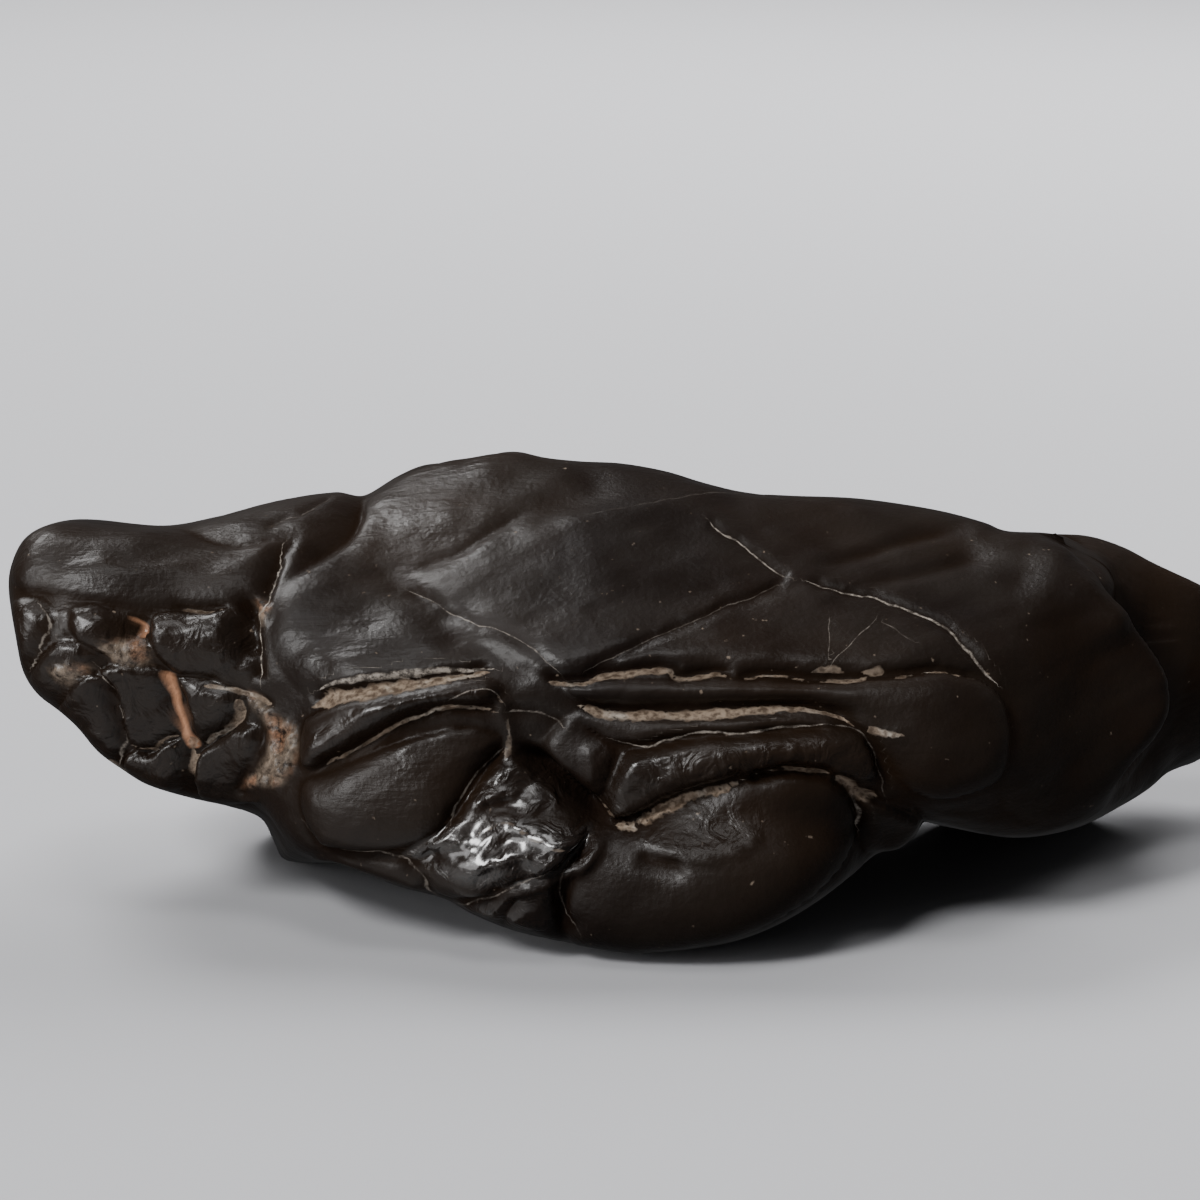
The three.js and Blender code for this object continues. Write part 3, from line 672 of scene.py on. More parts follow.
# The lines of the front: veins and folds of the middle, the head, the roof and the lower edge
FRONT_STROKES = (
    Stroke("left shelf vein", Mark.VEIN, (7, 6, 2), -2.2, (5, 6), (
        (314, 708), (334, 699), (362, 693), (393, 687), (420, 683), (450, 679), (475, 675),
        (494, 672)), 1, 6),
    # The lip's pale line is a painted highlight: a row of glints along the shelf's upper edge, drawn in the
    # hairline colour over a real ridge.
    Stroke("painted highlight on the lip over the left shelf", Mark.HAIRLINE, (1.4, 4, 1.2), 0.8, (9, 3), (
        (317, 691), (340, 683), (375, 678), (413, 672), (450, 670), (493, 670))),
    Stroke("second left vein", Mark.VEIN, (1, 2.2, 2), -1.3, (5, 7), (
        (315, 771), (336, 759), (373, 739), (400, 723), (440, 709), (467, 707), (501, 712)), 0.85, 2),
    Stroke("end of the second left vein", Mark.HAIRLINE, (1, 1, 1), -0.8, (6, 6), (
        (501, 712), (536, 712), (567, 727)), 0.3),
    Stroke("thin line over the knot", Mark.HAIRLINE, (0.7, 0.8, 0.8), -0.5, (5, 5), (
        (451, 700), (477, 691), (493, 692), (503, 704)), 0.5),
    Stroke("upper ledge vein", Mark.VEIN, (1.5, 3.6, 1.6), -2, (6, 5), (
        (540, 682), (580, 685), (601, 677), (640, 673), (668, 671), (679, 679), (711, 675),
        (737, 679)), 0.75, 4),
    Stroke("end of the upper ledge vein", Mark.VEIN, (1.2, 1.6, 0.8), -1.6, (7, 5), (
        (730, 679), (764, 676), (780, 677), (815, 680), (855, 680), (903, 676), (940, 672),
        (985, 683)), 0.7, 2),
    Stroke("lower ledge vein", Mark.VEIN, (4, 4.2, 1.4), -2.2, (5, 5), (
        (574, 702), (593, 711), (617, 716), (660, 716), (689, 716), (727, 713), (769, 711), (796, 709),
        (828, 714), (844, 719), (857, 728)), 1, 6),
    Stroke("dashed line", Mark.HAIRLINE, (1, 1.4, 1), -0.9, (5, 7), (
        (612, 739), (647, 747), (668, 740), (700, 733), (737, 733), (775, 728), (828, 724)), 0.75),
    Stroke("end of the dashed line", Mark.HAIRLINE, (0.8, 0.8, 0.8), -0.7, (6, 6), (
        (828, 724), (855, 729), (871, 747), (879, 769), (884, 795)), 0.3),
    Stroke("crease over the front lobe", Mark.VEIN, (2.5, 5, 2), -2.2, (6, 4), (
        (607, 821), (628, 825), (652, 815), (684, 799), (721, 789), (748, 778)), 1, 7),
    Stroke("end of the crease", Mark.VEIN, (1, 1.6, 2), -2, (7, 6), (
        (748, 777), (780, 771), (815, 771), (831, 776)), 0.8, 1),
    Stroke("crumbs at the end of the crease", Mark.VEIN, (3, 6, 2), -1.4, (8, 8), (
        (831, 776), (848, 783), (858, 793), (880, 796)), 0.7),
    Stroke.bare("deep fold", -9, (9, 8), ((512, 745), (547, 768), (573, 792), (595, 811), (613, 825))),
    Stroke("edge of the deep fold", Mark.VEIN, (0.8, 2.2, 2), 0.5, (4, 8), (
        (556, 764), (578, 785), (600, 805), (616, 818)), 0.6),
    Stroke.bare("first facet line", 0.9, (8, 5), ((544, 733), (556, 756), (571, 776))),
    Stroke.bare("second facet line", 0.9, (8, 5), ((587, 740), (590, 762), (592, 786))),
    Stroke("knot", Mark.VEIN, (1, 2.5, 3.5), 0.7, (6, 6), (
        (495, 694), (503, 706), (508, 720), (509, 736), (507, 757)), 0.5),
    # Painted highlight: a thin bright line along the edge of the left lobe, drawn in the hairline colour over
    # a shallow groove.
    Stroke("painted highlight on the edge of the left lobe", Mark.HAIRLINE, (1, 1.2, 1), -1.2, (6, 6), (
        (504, 747), (475, 776), (459, 800), (451, 821)), 0.4),
    Stroke.bare("ridge on the left lobe", 0.8, (6, 9), ((395, 746), (430, 734), (468, 725))),
    Stroke("pale ridge in the hollow", Mark.VEIN, (1, 2.4, 1), 1.4, (6, 5), (
        (477, 827), (509, 814), (533, 823), (565, 831), (587, 824)), 0.4),
    Stroke.bare("brow of the hollow", 3.4, (8, 46), (
        (606, 812), (588, 850), (552, 873), (486, 884), (428, 868))),
    Stroke.bare("first wrinkle", 1.2, (5, 4), ((418, 850), (446, 836), (470, 836), (492, 842))),
    Stroke.bare("second wrinkle", 1.2, (5, 4), ((470, 862), (500, 848), (530, 842), (566, 848))),
    Stroke.bare("third wrinkle", 1, (5, 4), ((470, 806), (496, 790), (520, 790), (552, 802))),
    Stroke.bare("fourth wrinkle", 0.9, (5, 4), ((492, 776), (516, 766), (540, 776))),
    Stroke.bare("front edge of the roll", 1.2, (5, 10), (
        (604, 806), (613, 786), (625, 766), (642, 754), (690, 744), (740, 740))),
    Stroke.bare("rim on the front lobe", 1.1, (5, 4), (
        (640, 830), (655, 837), (687, 845), (727, 839), (750, 826), (742, 820), (722, 823))),
    Stroke.bare("hollow in the front lobe", -1.8, (7, 8), ((634, 846), (655, 854), (686, 857))),
    Stroke("head crack", Mark.HAIRLINE, (0.4, 1.2, 0.7), -1.6, (6, 6), (
        (286, 542), (273, 573), (263, 607), (257, 623), (257, 653), (260, 683))),
    Stroke.bare("hollow in the cheek", -4, (8, 7), ((252, 592), (246, 612), (243, 632), (250, 660))),
    Stroke("top of the cheek", Mark.VEIN, (1, 2.4, 1.5), -0.8, (6, 6), (
        (178, 609), (213, 615), (228, 607)), 0.5),
    Stroke("rust pocket", Mark.RUST, (3, 4, 2), -1.2, (8, 8), ((138, 617), (140, 627), (143, 638)), 0.6),
    Stroke("rusty band", Mark.RUST, (2, 4, 4.6), 0.5, (6, 6), (
        (168, 667), (177, 692), (186, 718), (197, 750)), 0.85),
    Stroke("end of the rusty band", Mark.VEIN, (4, 6, 4), -0.6, (8, 8), (
        (192, 735), (197, 748), (200, 770), (203, 792)), 0.75),
    Stroke("first plate joint", Mark.VEIN, (1.5, 3, 2), -1.2, (6, 6), (
        (205, 684), (224, 688), (240, 691), (273, 706)), 0.8),
    Stroke("second plate joint", Mark.VEIN, (2.5, 3, 2), -1.2, (6, 6), (
        (240, 692), (240, 713), (230, 727), (213, 737), (203, 748)), 0.8),
    Stroke("third plate joint", Mark.VEIN, (1, 1.8, 1), -0.9, (6, 6), (
        (128, 747), (147, 747), (157, 748), (167, 737), (182, 735)), 0.7),
    Stroke("fourth plate joint", Mark.HAIRLINE, (1, 1.2, 1), -0.9, (6, 6), (
        (100, 667), (113, 680), (123, 700), (127, 727), (125, 763)), 0.5),
    Stroke("white patch on the plates", Mark.VEIN, (1, 4, 1), 0, (6, 6), (
        (114, 755), (121, 764), (127, 775)), 0.45),
    Stroke("hairline on the head", Mark.HAIRLINE, (0.7, 1, 0.7), -0.5, (5, 5), (
        (40, 603), (53, 620), (47, 643), (35, 670)), 0.4),
    Stroke.bare("valley by the left shoulder", -1, (8, 10), (
        (370, 492), (356, 516), (350, 530), (334, 546), (312, 558), (288, 582))),
    Stroke.bare("first head fold", 0.9, (10, 14), ((30, 562), (70, 548), (120, 552), (180, 546))),
    Stroke.bare("second head fold", 1, (7, 10), ((60, 580), (110, 572), (160, 578), (225, 566))),
    Stroke("shoulder crack", Mark.HAIRLINE, (0.6, 0.6, 0.6), -0.7, (4, 4), (
        (334, 497), (318, 508), (300, 516), (264, 528)), 0.15),
    Stroke("first fissure", Mark.HAIRLINE, (0.6, 0.9, 0.7), -0.8, (5, 6), (
        (704, 530), (740, 553), (788, 584)), 0.65),
    Stroke("second fissure", Mark.HAIRLINE, (0.5, 1.1, 1.4), -1.2, (5, 6), (
        (800, 586), (860, 598), (899, 610), (926, 619), (947, 632), (965, 650), (980, 668),
        (996, 684)), 0.8),
    Stroke("third fissure", Mark.HAIRLINE, (0.6, 0.6, 0.6), -1.1, (8, 5), (
        (786, 582), (756, 598), (712, 614), (664, 634), (616, 656), (584, 672)), 0.2),
    Stroke("fourth fissure", Mark.HAIRLINE, (0.5, 0.7, 0.7), -0.7, (7, 6), (
        (404, 588), (440, 606), (472, 624), (512, 636), (540, 655), (562, 676)), 0.4),
    Stroke.bare("valley of the left roof", -1.5, (14, 18), (
        (360, 566), (404, 590), (436, 616), (462, 640), (500, 658), (540, 676))),
    Stroke.bare("ridge of the middle roof", 2.1, (15, 46), (
        (430, 598), (456, 578), (496, 556), (532, 538), (564, 533), (584, 536), (620, 531), (676, 525),
        (704, 528), (752, 556), (782, 576))),
    Stroke.bare("trough by the peak", -1.2, (26, 22), (
        (480, 556), (520, 530), (556, 512), (588, 494), (618, 464))),
    Stroke.bare("peak crease", -1, (6, 5), (
        (396, 582), (436, 566), (468, 554), (496, 535), (520, 522), (544, 512))),
    Stroke.bare("peak fold", 0.9, (24, 18), ((380, 545), (430, 520), (480, 488), (520, 462))),
    Stroke.bare("second peak fold", 0.6, (14, 14), ((470, 528), (510, 512), (550, 492), (585, 468))),
    Stroke.bare("upper ridge", 1.1, (30, 12), ((540, 534), (584, 527), (624, 521), (684, 508), (744, 494))),
    Stroke("line on the upper ridge", Mark.HAIRLINE, (0.6, 0.7, 0.6), 0, (4, 4), (
        (584, 527), (624, 521), (684, 508), (744, 494)), 0.1),
    Stroke.bare("shoulder of the boulder", 2.6, (44, 24), (
        (1006, 584), (1036, 592), (1062, 606), (1086, 630), (1102, 658))),
    Stroke.bare("groove by the band", -1.5, (7, 8), (
        (800, 572), (860, 558), (899, 545), (935, 537), (974, 532))),
    Stroke.bare("groove by the saddle", -1.4, (8, 8), (
        (850, 588), (899, 580), (935, 571), (974, 561), (1004, 555))),
    Stroke("first scratch", Mark.HAIRLINE, (0.6, 0.6, 0.5), 0, (4, 4), (
        (825, 669), (824, 645), (824, 620)), 0.25),
    Stroke("second scratch", Mark.HAIRLINE, (0.6, 0.6, 0.5), 0, (4, 4), (
        (825, 669), (850, 643), (872, 620)), 0.35),
    Stroke("third scratch", Mark.HAIRLINE, (0.5, 0.5, 0.5), 0, (4, 4), (
        (872, 620), (890, 632), (911, 644)), 0.25),
    Stroke("first tan patch", Mark.VEIN, (1, 4, 1), 0, (5, 5), ((810, 671), (828, 669), (846, 672)), 0.6),
    Stroke("second tan patch", Mark.VEIN, (1, 4, 1), 0, (5, 5), ((861, 672), (876, 671), (890, 674)), 0.75),
    Stroke("oval patch", Mark.VEIN, (1, 5, 1), 0.3, (6, 6), ((857, 727), (876, 731), (896, 734)), 0.85),
    Stroke("split under the fold", Mark.HAIRLINE, (0.8, 1, 0.8), -2.2, (6, 7), (
        (592, 830), (574, 848), (563, 872), (560, 896), (565, 912), (581, 927)), 0.2),
    Stroke.bare("lower crease", -1.4, (6, 6), ((523, 888), (515, 899), (499, 924))),
    # The skirt joint is a real groove; its pale line is a painted highlight, drawn in the hairline colour.
    Stroke("skirt joint with painted highlight", Mark.HAIRLINE, (0.8, 1.2, 0.8), -1.3, (6, 6), (
        (304, 821), (320, 843), (349, 849), (395, 856), (424, 872), (429, 891), (445, 904), (464, 904),
        (507, 884), (541, 868), (573, 848)), 0.3),
    Stroke("joint by the nub", Mark.HAIRLINE, (1, 2, 1), -1.4, (6, 6), (
        (855, 796), (859, 812), (858, 828)), 0.7),
)

# The lines of the back
BACK_STROKES = (
    Stroke("back ledge vein", Mark.VEIN, (1, 3.5, 1.5), -1.8, (7, 7), (
        (230, 722), (330, 728), (440, 722), (540, 726), (600, 720), (700, 716)), 0.7),
    Stroke("back fissure", Mark.HAIRLINE, (0.8, 1.2, 0.8), -0.9, (6, 6), (
        (425, 545), (412, 600), (405, 670), (350, 728)), 0.6),
    Stroke("second back fissure", Mark.HAIRLINE, (0.8, 1, 0.8), -0.9, (6, 6), (
        (738, 550), (712, 610), (700, 690), (608, 730), (600, 830)), 0.5),
    Stroke("neck fissure", Mark.HAIRLINE, (0.8, 1.4, 1), -1.2, (7, 7), (
        (945, 600), (935, 680), (890, 730), (860, 790))),
    Stroke.bare("back crease", -2.4, (12, 12), ((335, 760), (312, 830), (300, 900))),
    Stroke.bare("first back fold", 1.8, (12, 22), ((110, 650), (240, 610), (340, 622), (400, 650))),
    Stroke.bare("second back fold", -1.8, (10, 18), ((450, 620), (560, 575), (640, 590), (720, 560))),
    Stroke.bare("third back fold", 1.6, (12, 24), ((390, 850), (480, 800), (580, 815))),
    Stroke.bare("fourth back fold", -1.6, (9, 16), ((620, 800), (720, 768), (820, 795))),
    Stroke.bare("fifth back fold", 1.5, (12, 20), ((950, 650), (1050, 618), (1150, 655))),
    Stroke.bare("sixth back fold", -1.5, (9, 16), ((90, 800), (180, 770), (270, 800))),
)

# Where the front is wrinkled and waxy
ROUGH_ZONES = (
    Zone(14, (
        (392, 856), (430, 826), (478, 806), (540, 806), (602, 818), (592, 850), (572, 872), (520, 888),
        (450, 876), (415, 866))),
    Zone(20, ((450, 800), (500, 745), (545, 757), (596, 804), (540, 815), (480, 815)), 0.6),
    Zone(18, (
        (590, 735), (640, 745), (760, 730), (860, 730), (882, 780), (850, 800), (800, 780), (740, 785),
        (660, 815), (605, 830)), 0.48),
    Zone(14, ((622, 830), (690, 806), (756, 788), (772, 804), (760, 832), (700, 846), (640, 846)), 0.3),
    Zone(14, ((452, 902), (505, 884), (560, 872), (562, 920), (520, 932), (478, 916)), 0.6),
    Zone(12, (
        (310, 735), (356, 704), (420, 692), (490, 684), (480, 704), (420, 712), (360, 742),
        (320, 764)), 0.5),
    Zone(20, (
        (10, 592), (50, 597), (160, 606), (262, 600), (264, 700), (300, 770), (280, 800), (200, 800),
        (120, 770), (60, 712), (15, 660)), 0.42),
)

# Where the head's joints have crumbled
CRUMBLE_ZONES = (
    Zone(12, ((108, 644), (140, 634), (158, 644), (156, 668), (128, 672), (110, 662))),
    Zone(12, (
        (244, 688), (262, 692), (270, 705), (298, 724), (302, 752), (288, 786), (262, 790), (238, 786),
        (264, 752), (262, 726), (246, 704))),
    Zone(10, ((60, 668), (88, 660), (98, 672), (80, 690), (66, 684))),
    Zone(10, ((246, 600), (262, 596), (276, 606), (270, 626), (254, 626))),
)

# Where rubbing shows as streaks: the peak, the head's top and the left lobe
STREAK_ZONES = (
    Zone(40, (
        (270, 600), (340, 540), (365, 490), (440, 440), (620, 450), (600, 500), (520, 550), (440, 610),
        (520, 660), (420, 672), (300, 695))),
    Zone(30, (
        (10, 590), (10, 510), (180, 505), (350, 485), (345, 540), (280, 560), (250, 600), (120, 605))),
    Zone(30, ((300, 780), (400, 740), (490, 725), (480, 780), (420, 845), (320, 845))),
)

FRONT_ZONES = {"rough": ROUGH_ZONES, "crumble": CRUMBLE_ZONES, "streak": STREAK_ZONES}


@dataclass(frozen=True)
class Grain:
    """A noise in two layers that roughens the skin or bends a line.

    Attributes:
        height: How far it rises and falls.
        cell: Distance between its humps.
        seed: Number that picks its values.
        ridged: Whether its crests are sharp.
    """

    height: float
    cell: float
    seed: int
    ridged: bool = False

    def rise(self, points: np.ndarray) -> np.ndarray:
        """Heights of the noise at points, in the unit of its height."""
        noise = ridged_noise if self.ridged else layered_noise
        return self.height * noise(points, self.cell, 2, self.seed)


# The uneven skin, in millimetres: swells and dimples, and streaks drawn out along the bed of the rock
BROAD_SWELL = Grain(0.55, 26, 3)
NARROW_SWELL = Grain(0.25, 13, 51)
DIMPLES = Grain(0.12, 8, 11)
BED_STREAKS = Grain(0.24, 7, 15)
BED = (0.79, 0.54, 0.29)
BED_SQUEEZE = 0.8

# The wrinkles, which lean, are longer than wide and stray, and the broken rock
WRINKLES = Grain(0.9, 7, 31, ridged=True)
WRINKLE_LEAN = ((0.8, 0, -0.6), (0, 1, 0), (0.6, 0, 0.8))
WRINKLE_SQUEEZE = (0.45, 1, 1)
WRINKLE_STRAY = (Grain(1.6, 9, 21), Grain(1.6, 9, 23), Grain(1.6, 9, 25))
BROKEN_ROCK = Grain(1.3, 5, 41, ridged=True)

# How far hairlines and veins stray from their paths, in sheet units
LINE_STRAY = Grain(1.6, 15, 83)


class Outline:
    """The stone's outline on the front view, kept as its reach in every direction from its middle."""

    STEPS = 2048
    SMOOTHING = 7

    def __init__(self, points: Points, middle: tuple[float, float]) -> None:
        """Reads the reach off a smooth curve through the points.

        Args:
            points: Points of the outline on the sheet.
            middle: Place on the sheet that the directions are counted from.
        """
        self.middle = middle
        curve = spline(points, 8, closed=True) - np.array(middle)
        angle = np.arctan2(curve[:, 1], curve[:, 0])
        order = np.argsort(angle)
        self.angles = np.linspace(-np.pi, np.pi, self.STEPS + 1)
        reach = np.interp(self.angles, angle[order], np.hypot(*curve[order].T), period=2 * np.pi)
        more = self.SMOOTHING // 2
        ring = np.concatenate([reach[-more - 1:-1], reach, reach[1:more + 1]])
        self.reach = np.convolve(ring, np.ones(self.SMOOTHING) / self.SMOOTHING, "valid")
        self.squareness = 1 / np.hypot(1, np.gradient(self.reach, self.angles) / self.reach)

    def outside(self, points: np.ndarray) -> np.ndarray:
        """Distance to the cone from the eye through the outline, measured square to the outline.

        Args:
            points: Points in millimetres, one row each.

        Returns:
            Distances in millimetres, negative inside.
        """
        across, down, unit = FRONT.see(points)
        x, y = across - self.middle[0], down - self.middle[1]
        angle = np.arctan2(y, x)
        reach = np.interp(angle, self.angles, self.reach)
        return (np.hypot(x, y) - reach) * np.interp(angle, self.angles, self.squareness) * unit

    def trim(self, points: np.ndarray, room: float, rounding: float) -> np.ndarray:
        """Draws points that fall outside the outline back to it, towards its middle on the sheet.

        Args:
            points: Points in millimetres.
            room: Sheet units that points may stand outside the outline.
            rounding: Width of the rounding of the trimmed edge in sheet units.

        Returns:
            The trimmed points.
        """
        across, down, unit = FRONT.see(points)
        x, y = across - self.middle[0], down - self.middle[1]
        away = np.hypot(x, y)
        reach = np.interp(np.arctan2(y, x), self.angles, self.reach) + room
        shift = (smooth_min(away, reach, rounding) - away) * unit / np.maximum(away, 1e-9)
        return points + (shift * x)[..., None] * FRONT.right - (shift * y)[..., None] * FRONT.up


@dataclass
class Stone:
    """The stone: its big shape, the relief on it and the mesh that both make.

    Attributes:
        columns: Squares across each half of the skin.
        rows: Squares up each half of the skin.
        face_rounding: Rounding between the body's flat faces, in millimetres.
        outline_rounding: Rounding where the outline trims the body, in millimetres.
        outline_room: Millimetres that the trim stands outside the outline, to make up for its rounding.
        spine_centre: Middle of the spine that the rays leave.
        spine_half: Half length of the spine in millimetres.
        ray_reach: Lengths of the rays sideways, frontwards and upwards, in millimetres.
        back_from: Depth behind which the hidden back is drawn in, in millimetres.
        back_draw: Share of the depth behind it that is drawn in.
        ray_tries: Shares of the rays at which the search for the surface starts and ends.
        ray_steps: Number of shares that are tried.
        halvings: Times that the last step is halved.
        least_lift: Least slope between ray and surface that the relief is lifted by.
        trim_room: Sheet units that the finished skin may stand outside the outline.
        trim_rounding: Rounding where the finished skin is trimmed, in sheet units.
    """

    columns: int = 330
    rows: int = 150
    face_rounding: float = 14.0
    outline_rounding: float = 9.0
    outline_room: float = 2.2
    spine_centre: Triple = (5.0, 15.0, 52.0)
    spine_half: float = 80.0
    ray_reach: Triple = (92.0, 100.0, 62.0)
    back_from: float = 40.0
    back_draw: float = 0.1
    ray_tries: tuple[float, float] = (1.75, 0.15)
    ray_steps: int = 110
    halvings: int = 14
    least_lift: float = 0.5
    trim_room: float = 2.0
    trim_rounding: float = 8.0

    def __post_init__(self) -> None:
        """Reads the outline."""
        self.outline = Outline(OUTLINE, OUTLINE_MIDDLE)

    def outside(self, points: np.ndarray) -> np.ndarray:
        """Distance to the big shape: rounded flat faces, joined by eggs, trimmed by the outline's cone.

        Args:
            points: Points in millimetres, one row each.

        Returns:
            Distances in millimetres, negative inside.
        """
        distance = STONE_FACES[0].outside(points)
        for face in STONE_FACES[1:]:
            distance = smooth_max(distance, face.outside(points), self.face_rounding)
        for lobe in STONE_LOBES:
            distance = smooth_min(distance, lobe.outside(points), lobe.blend)
        distance = smooth_min(distance, BOULDER.outside(points), BOULDER.blend)
        return smooth_max(distance, self.outline.outside(points) - self.outline_room, self.outline_rounding)

    def rays(self, side: int) -> tuple[np.ndarray, np.ndarray]:
        """Rays of one half of the skin: a square grid bent onto a disc, and the disc lifted onto a half egg.

        With u and v from -1 to 1, x = u root(1 - v squared / 2) and y likewise give the disc; a point at
        squared radius q rises to 1 - q, and x and y are spread by root(2 - q).

        Args:
            side: One for the front half, minus one for the back half.

        Returns:
            Start points and ray vectors, each in rows of columns + 1 by rows + 1.
        """
        wide, tall = np.linspace(-1, 1, self.columns + 1), np.linspace(-1, 1, self.rows + 1)
        u, v = np.meshgrid(wide, tall, indexing="ij")
        x, y = u * np.sqrt(1 - v * v / 2), v * np.sqrt(1 - u * u / 2)
        rim = np.minimum(x * x + y * y, 1)
        spread = np.sqrt(2 - rim)
        shares = np.stack([x * spread, side * (1 - rim), y * spread], -1)
        axes = np.array([FRONT.right, FRONT.toward, FRONT.up]) * np.array(self.ray_reach)[:, None]
        starts = np.array(self.spine_centre) + shares[..., :1] * self.spine_half * FRONT.right
        return starts, shares @ axes

    def cast(self, starts: np.ndarray, rays: np.ndarray) -> np.ndarray:
        """Finds the outermost point of the big shape on each ray, by steps inwards and then by halving.

        Args:
            starts: Start points.
            rays: Ray vectors.

        Returns:
            Points of the surface, in the same rows.
        """
        start, ray = starts.reshape(-1, 3), rays.reshape(-1, 3)
        tries = np.linspace(*self.ray_tries, self.ray_steps)
        inner = np.full(len(start), tries[-1])
        outer = np.full(len(start), tries[-2])
        waiting = np.arange(len(start))
        for before, reach in zip(np.concatenate([[tries[0]], tries]), tries):
            met = self.outside(start[waiting] + ray[waiting] * reach) < 0
            inner[waiting[met]], outer[waiting[met]] = reach, before
            waiting = waiting[~met]
            if not len(waiting):
                break
        for _ in range(self.halvings):
            middle = (inner + outer) / 2
            within = self.outside(start + ray * middle[:, None]) < 0
            inner, outer = np.where(within, middle, inner), np.where(within, outer, middle)
        return (start + ray * inner[:, None]).reshape(starts.shape)

    @staticmethod
    def normals(points: np.ndarray, rays: np.ndarray) -> np.ndarray:
        """Surface normals of a grid: the cross product of its two slopes, turned to face outwards.

        Args:
            points: Grid of points.
            rays: Ray vectors that meet them from inside.

        Returns:
            Unit normals in the same rows.
        """
        normal = np.cross(np.gradient(points, axis=0), np.gradient(points, axis=1))
        normal /= np.maximum(np.linalg.norm(normal, axis=-1, keepdims=True), 1e-9)
        return normal * np.where((normal * rays).sum(-1, keepdims=True) < 0, -1, 1)

    def skin(self, side: int) -> tuple[np.ndarray, dict[str, np.ndarray]]:
        """Builds one half of the skin: the big shape with its relief pushed out along the rays.

        Args:
            side: One for the front half, minus one for the back half.

        Returns:
            The grid of points in millimetres, and one grid for each surface attribute.
        """
        starts, rays = self.rays(side)
        points = self.cast(starts, rays)
        normal = self.normals(points, rays)
        along = rays / np.linalg.norm(rays, axis=-1, keepdims=True)
        spacing = np.max([np.linalg.norm(np.gradient(points, axis=k), axis=-1) for k in (0, 1)], axis=0)
        heights, marks = Relief().heights(points, normal, spacing)
        lift = np.maximum((normal * along).sum(-1), self.least_lift)
        points = points + along * (heights / lift)[..., None]
        points = self.outline.trim(points, self.trim_room, self.trim_rounding)
        points[..., 1] -= self.back_draw * np.maximum(points[..., 1] - self.back_from, 0)
        points[..., 2] = np.maximum(points[..., 2], 0)
        return points, marks

    def triangles(self) -> tuple[np.ndarray, np.ndarray]:
        """Corner numbers of the closed skin: both grids, with the back's rim taken from the front.

        Each square is cut along the diagonal that points at the middle of the grid.

        Returns:
            Triangles, one row each, and a mask of the back grid's points that are its own.
        """
        tall = self.rows + 1
        number = np.arange((self.columns + 1) * tall).reshape(self.columns + 1, tall)
        own = np.zeros(number.shape, bool)
        own[1:-1, 1:-1] = True
        behind = number.copy()
        behind[own] = number.size + np.arange(own.sum())
        column, row = np.indices((self.columns, self.rows))
        rising = ((2 * column < self.columns) == (2 * row < self.rows))[..., None]
        halves = []
        for grid, order in ((number, (0, 1, 2)), (behind, (0, 2, 1))):
            a, b, c, d = grid[:-1, :-1], grid[1:, :-1], grid[1:, 1:], grid[:-1, 1:]
            first = np.where(rising, np.stack([a, b, c], -1), np.stack([a, b, d], -1))
            second = np.where(rising, np.stack([a, c, d], -1), np.stack([b, c, d], -1))
            halves += [first.reshape(-1, 3)[:, order], second.reshape(-1, 3)[:, order]]
        return np.concatenate(halves), own

    def build(self) -> tuple[bpy.types.Object, "Fit"]:
        """Builds the mesh and moves it into the part's frame.

        Returns:
            The stone's object, and the fit that took it into the part's frame.
        """
        front, front_marks = self.skin(1)
        back, back_marks = self.skin(-1)
        faces, own = self.triangles()
        points = np.concatenate([front.reshape(-1, 3), back[own]])
        fit = Fit.between(points, *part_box("stone"))
        mesh = bpy.data.meshes.new("stone_skin")
        mesh.from_pydata(fit.move(points), [], faces)
        mesh.shade_smooth()
        for name, grid in front_marks.items():
            values = np.concatenate([grid.ravel(), back_marks[name][own]]).astype(np.float32)
            mesh.attributes.new(name, "FLOAT", "POINT").data.foreach_set("value", values)
        piece = bpy.data.objects.new("stone_skin", mesh)
        bpy.context.scene.collection.objects.link(piece)
        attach(piece, "root")
        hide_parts("stone")
        return piece, fit

    def dress(self, piece: bpy.types.Object, finish: "OiledLimestone") -> None:
        """Gives the stone its finish."""
        piece.data.materials.append(finish.material())


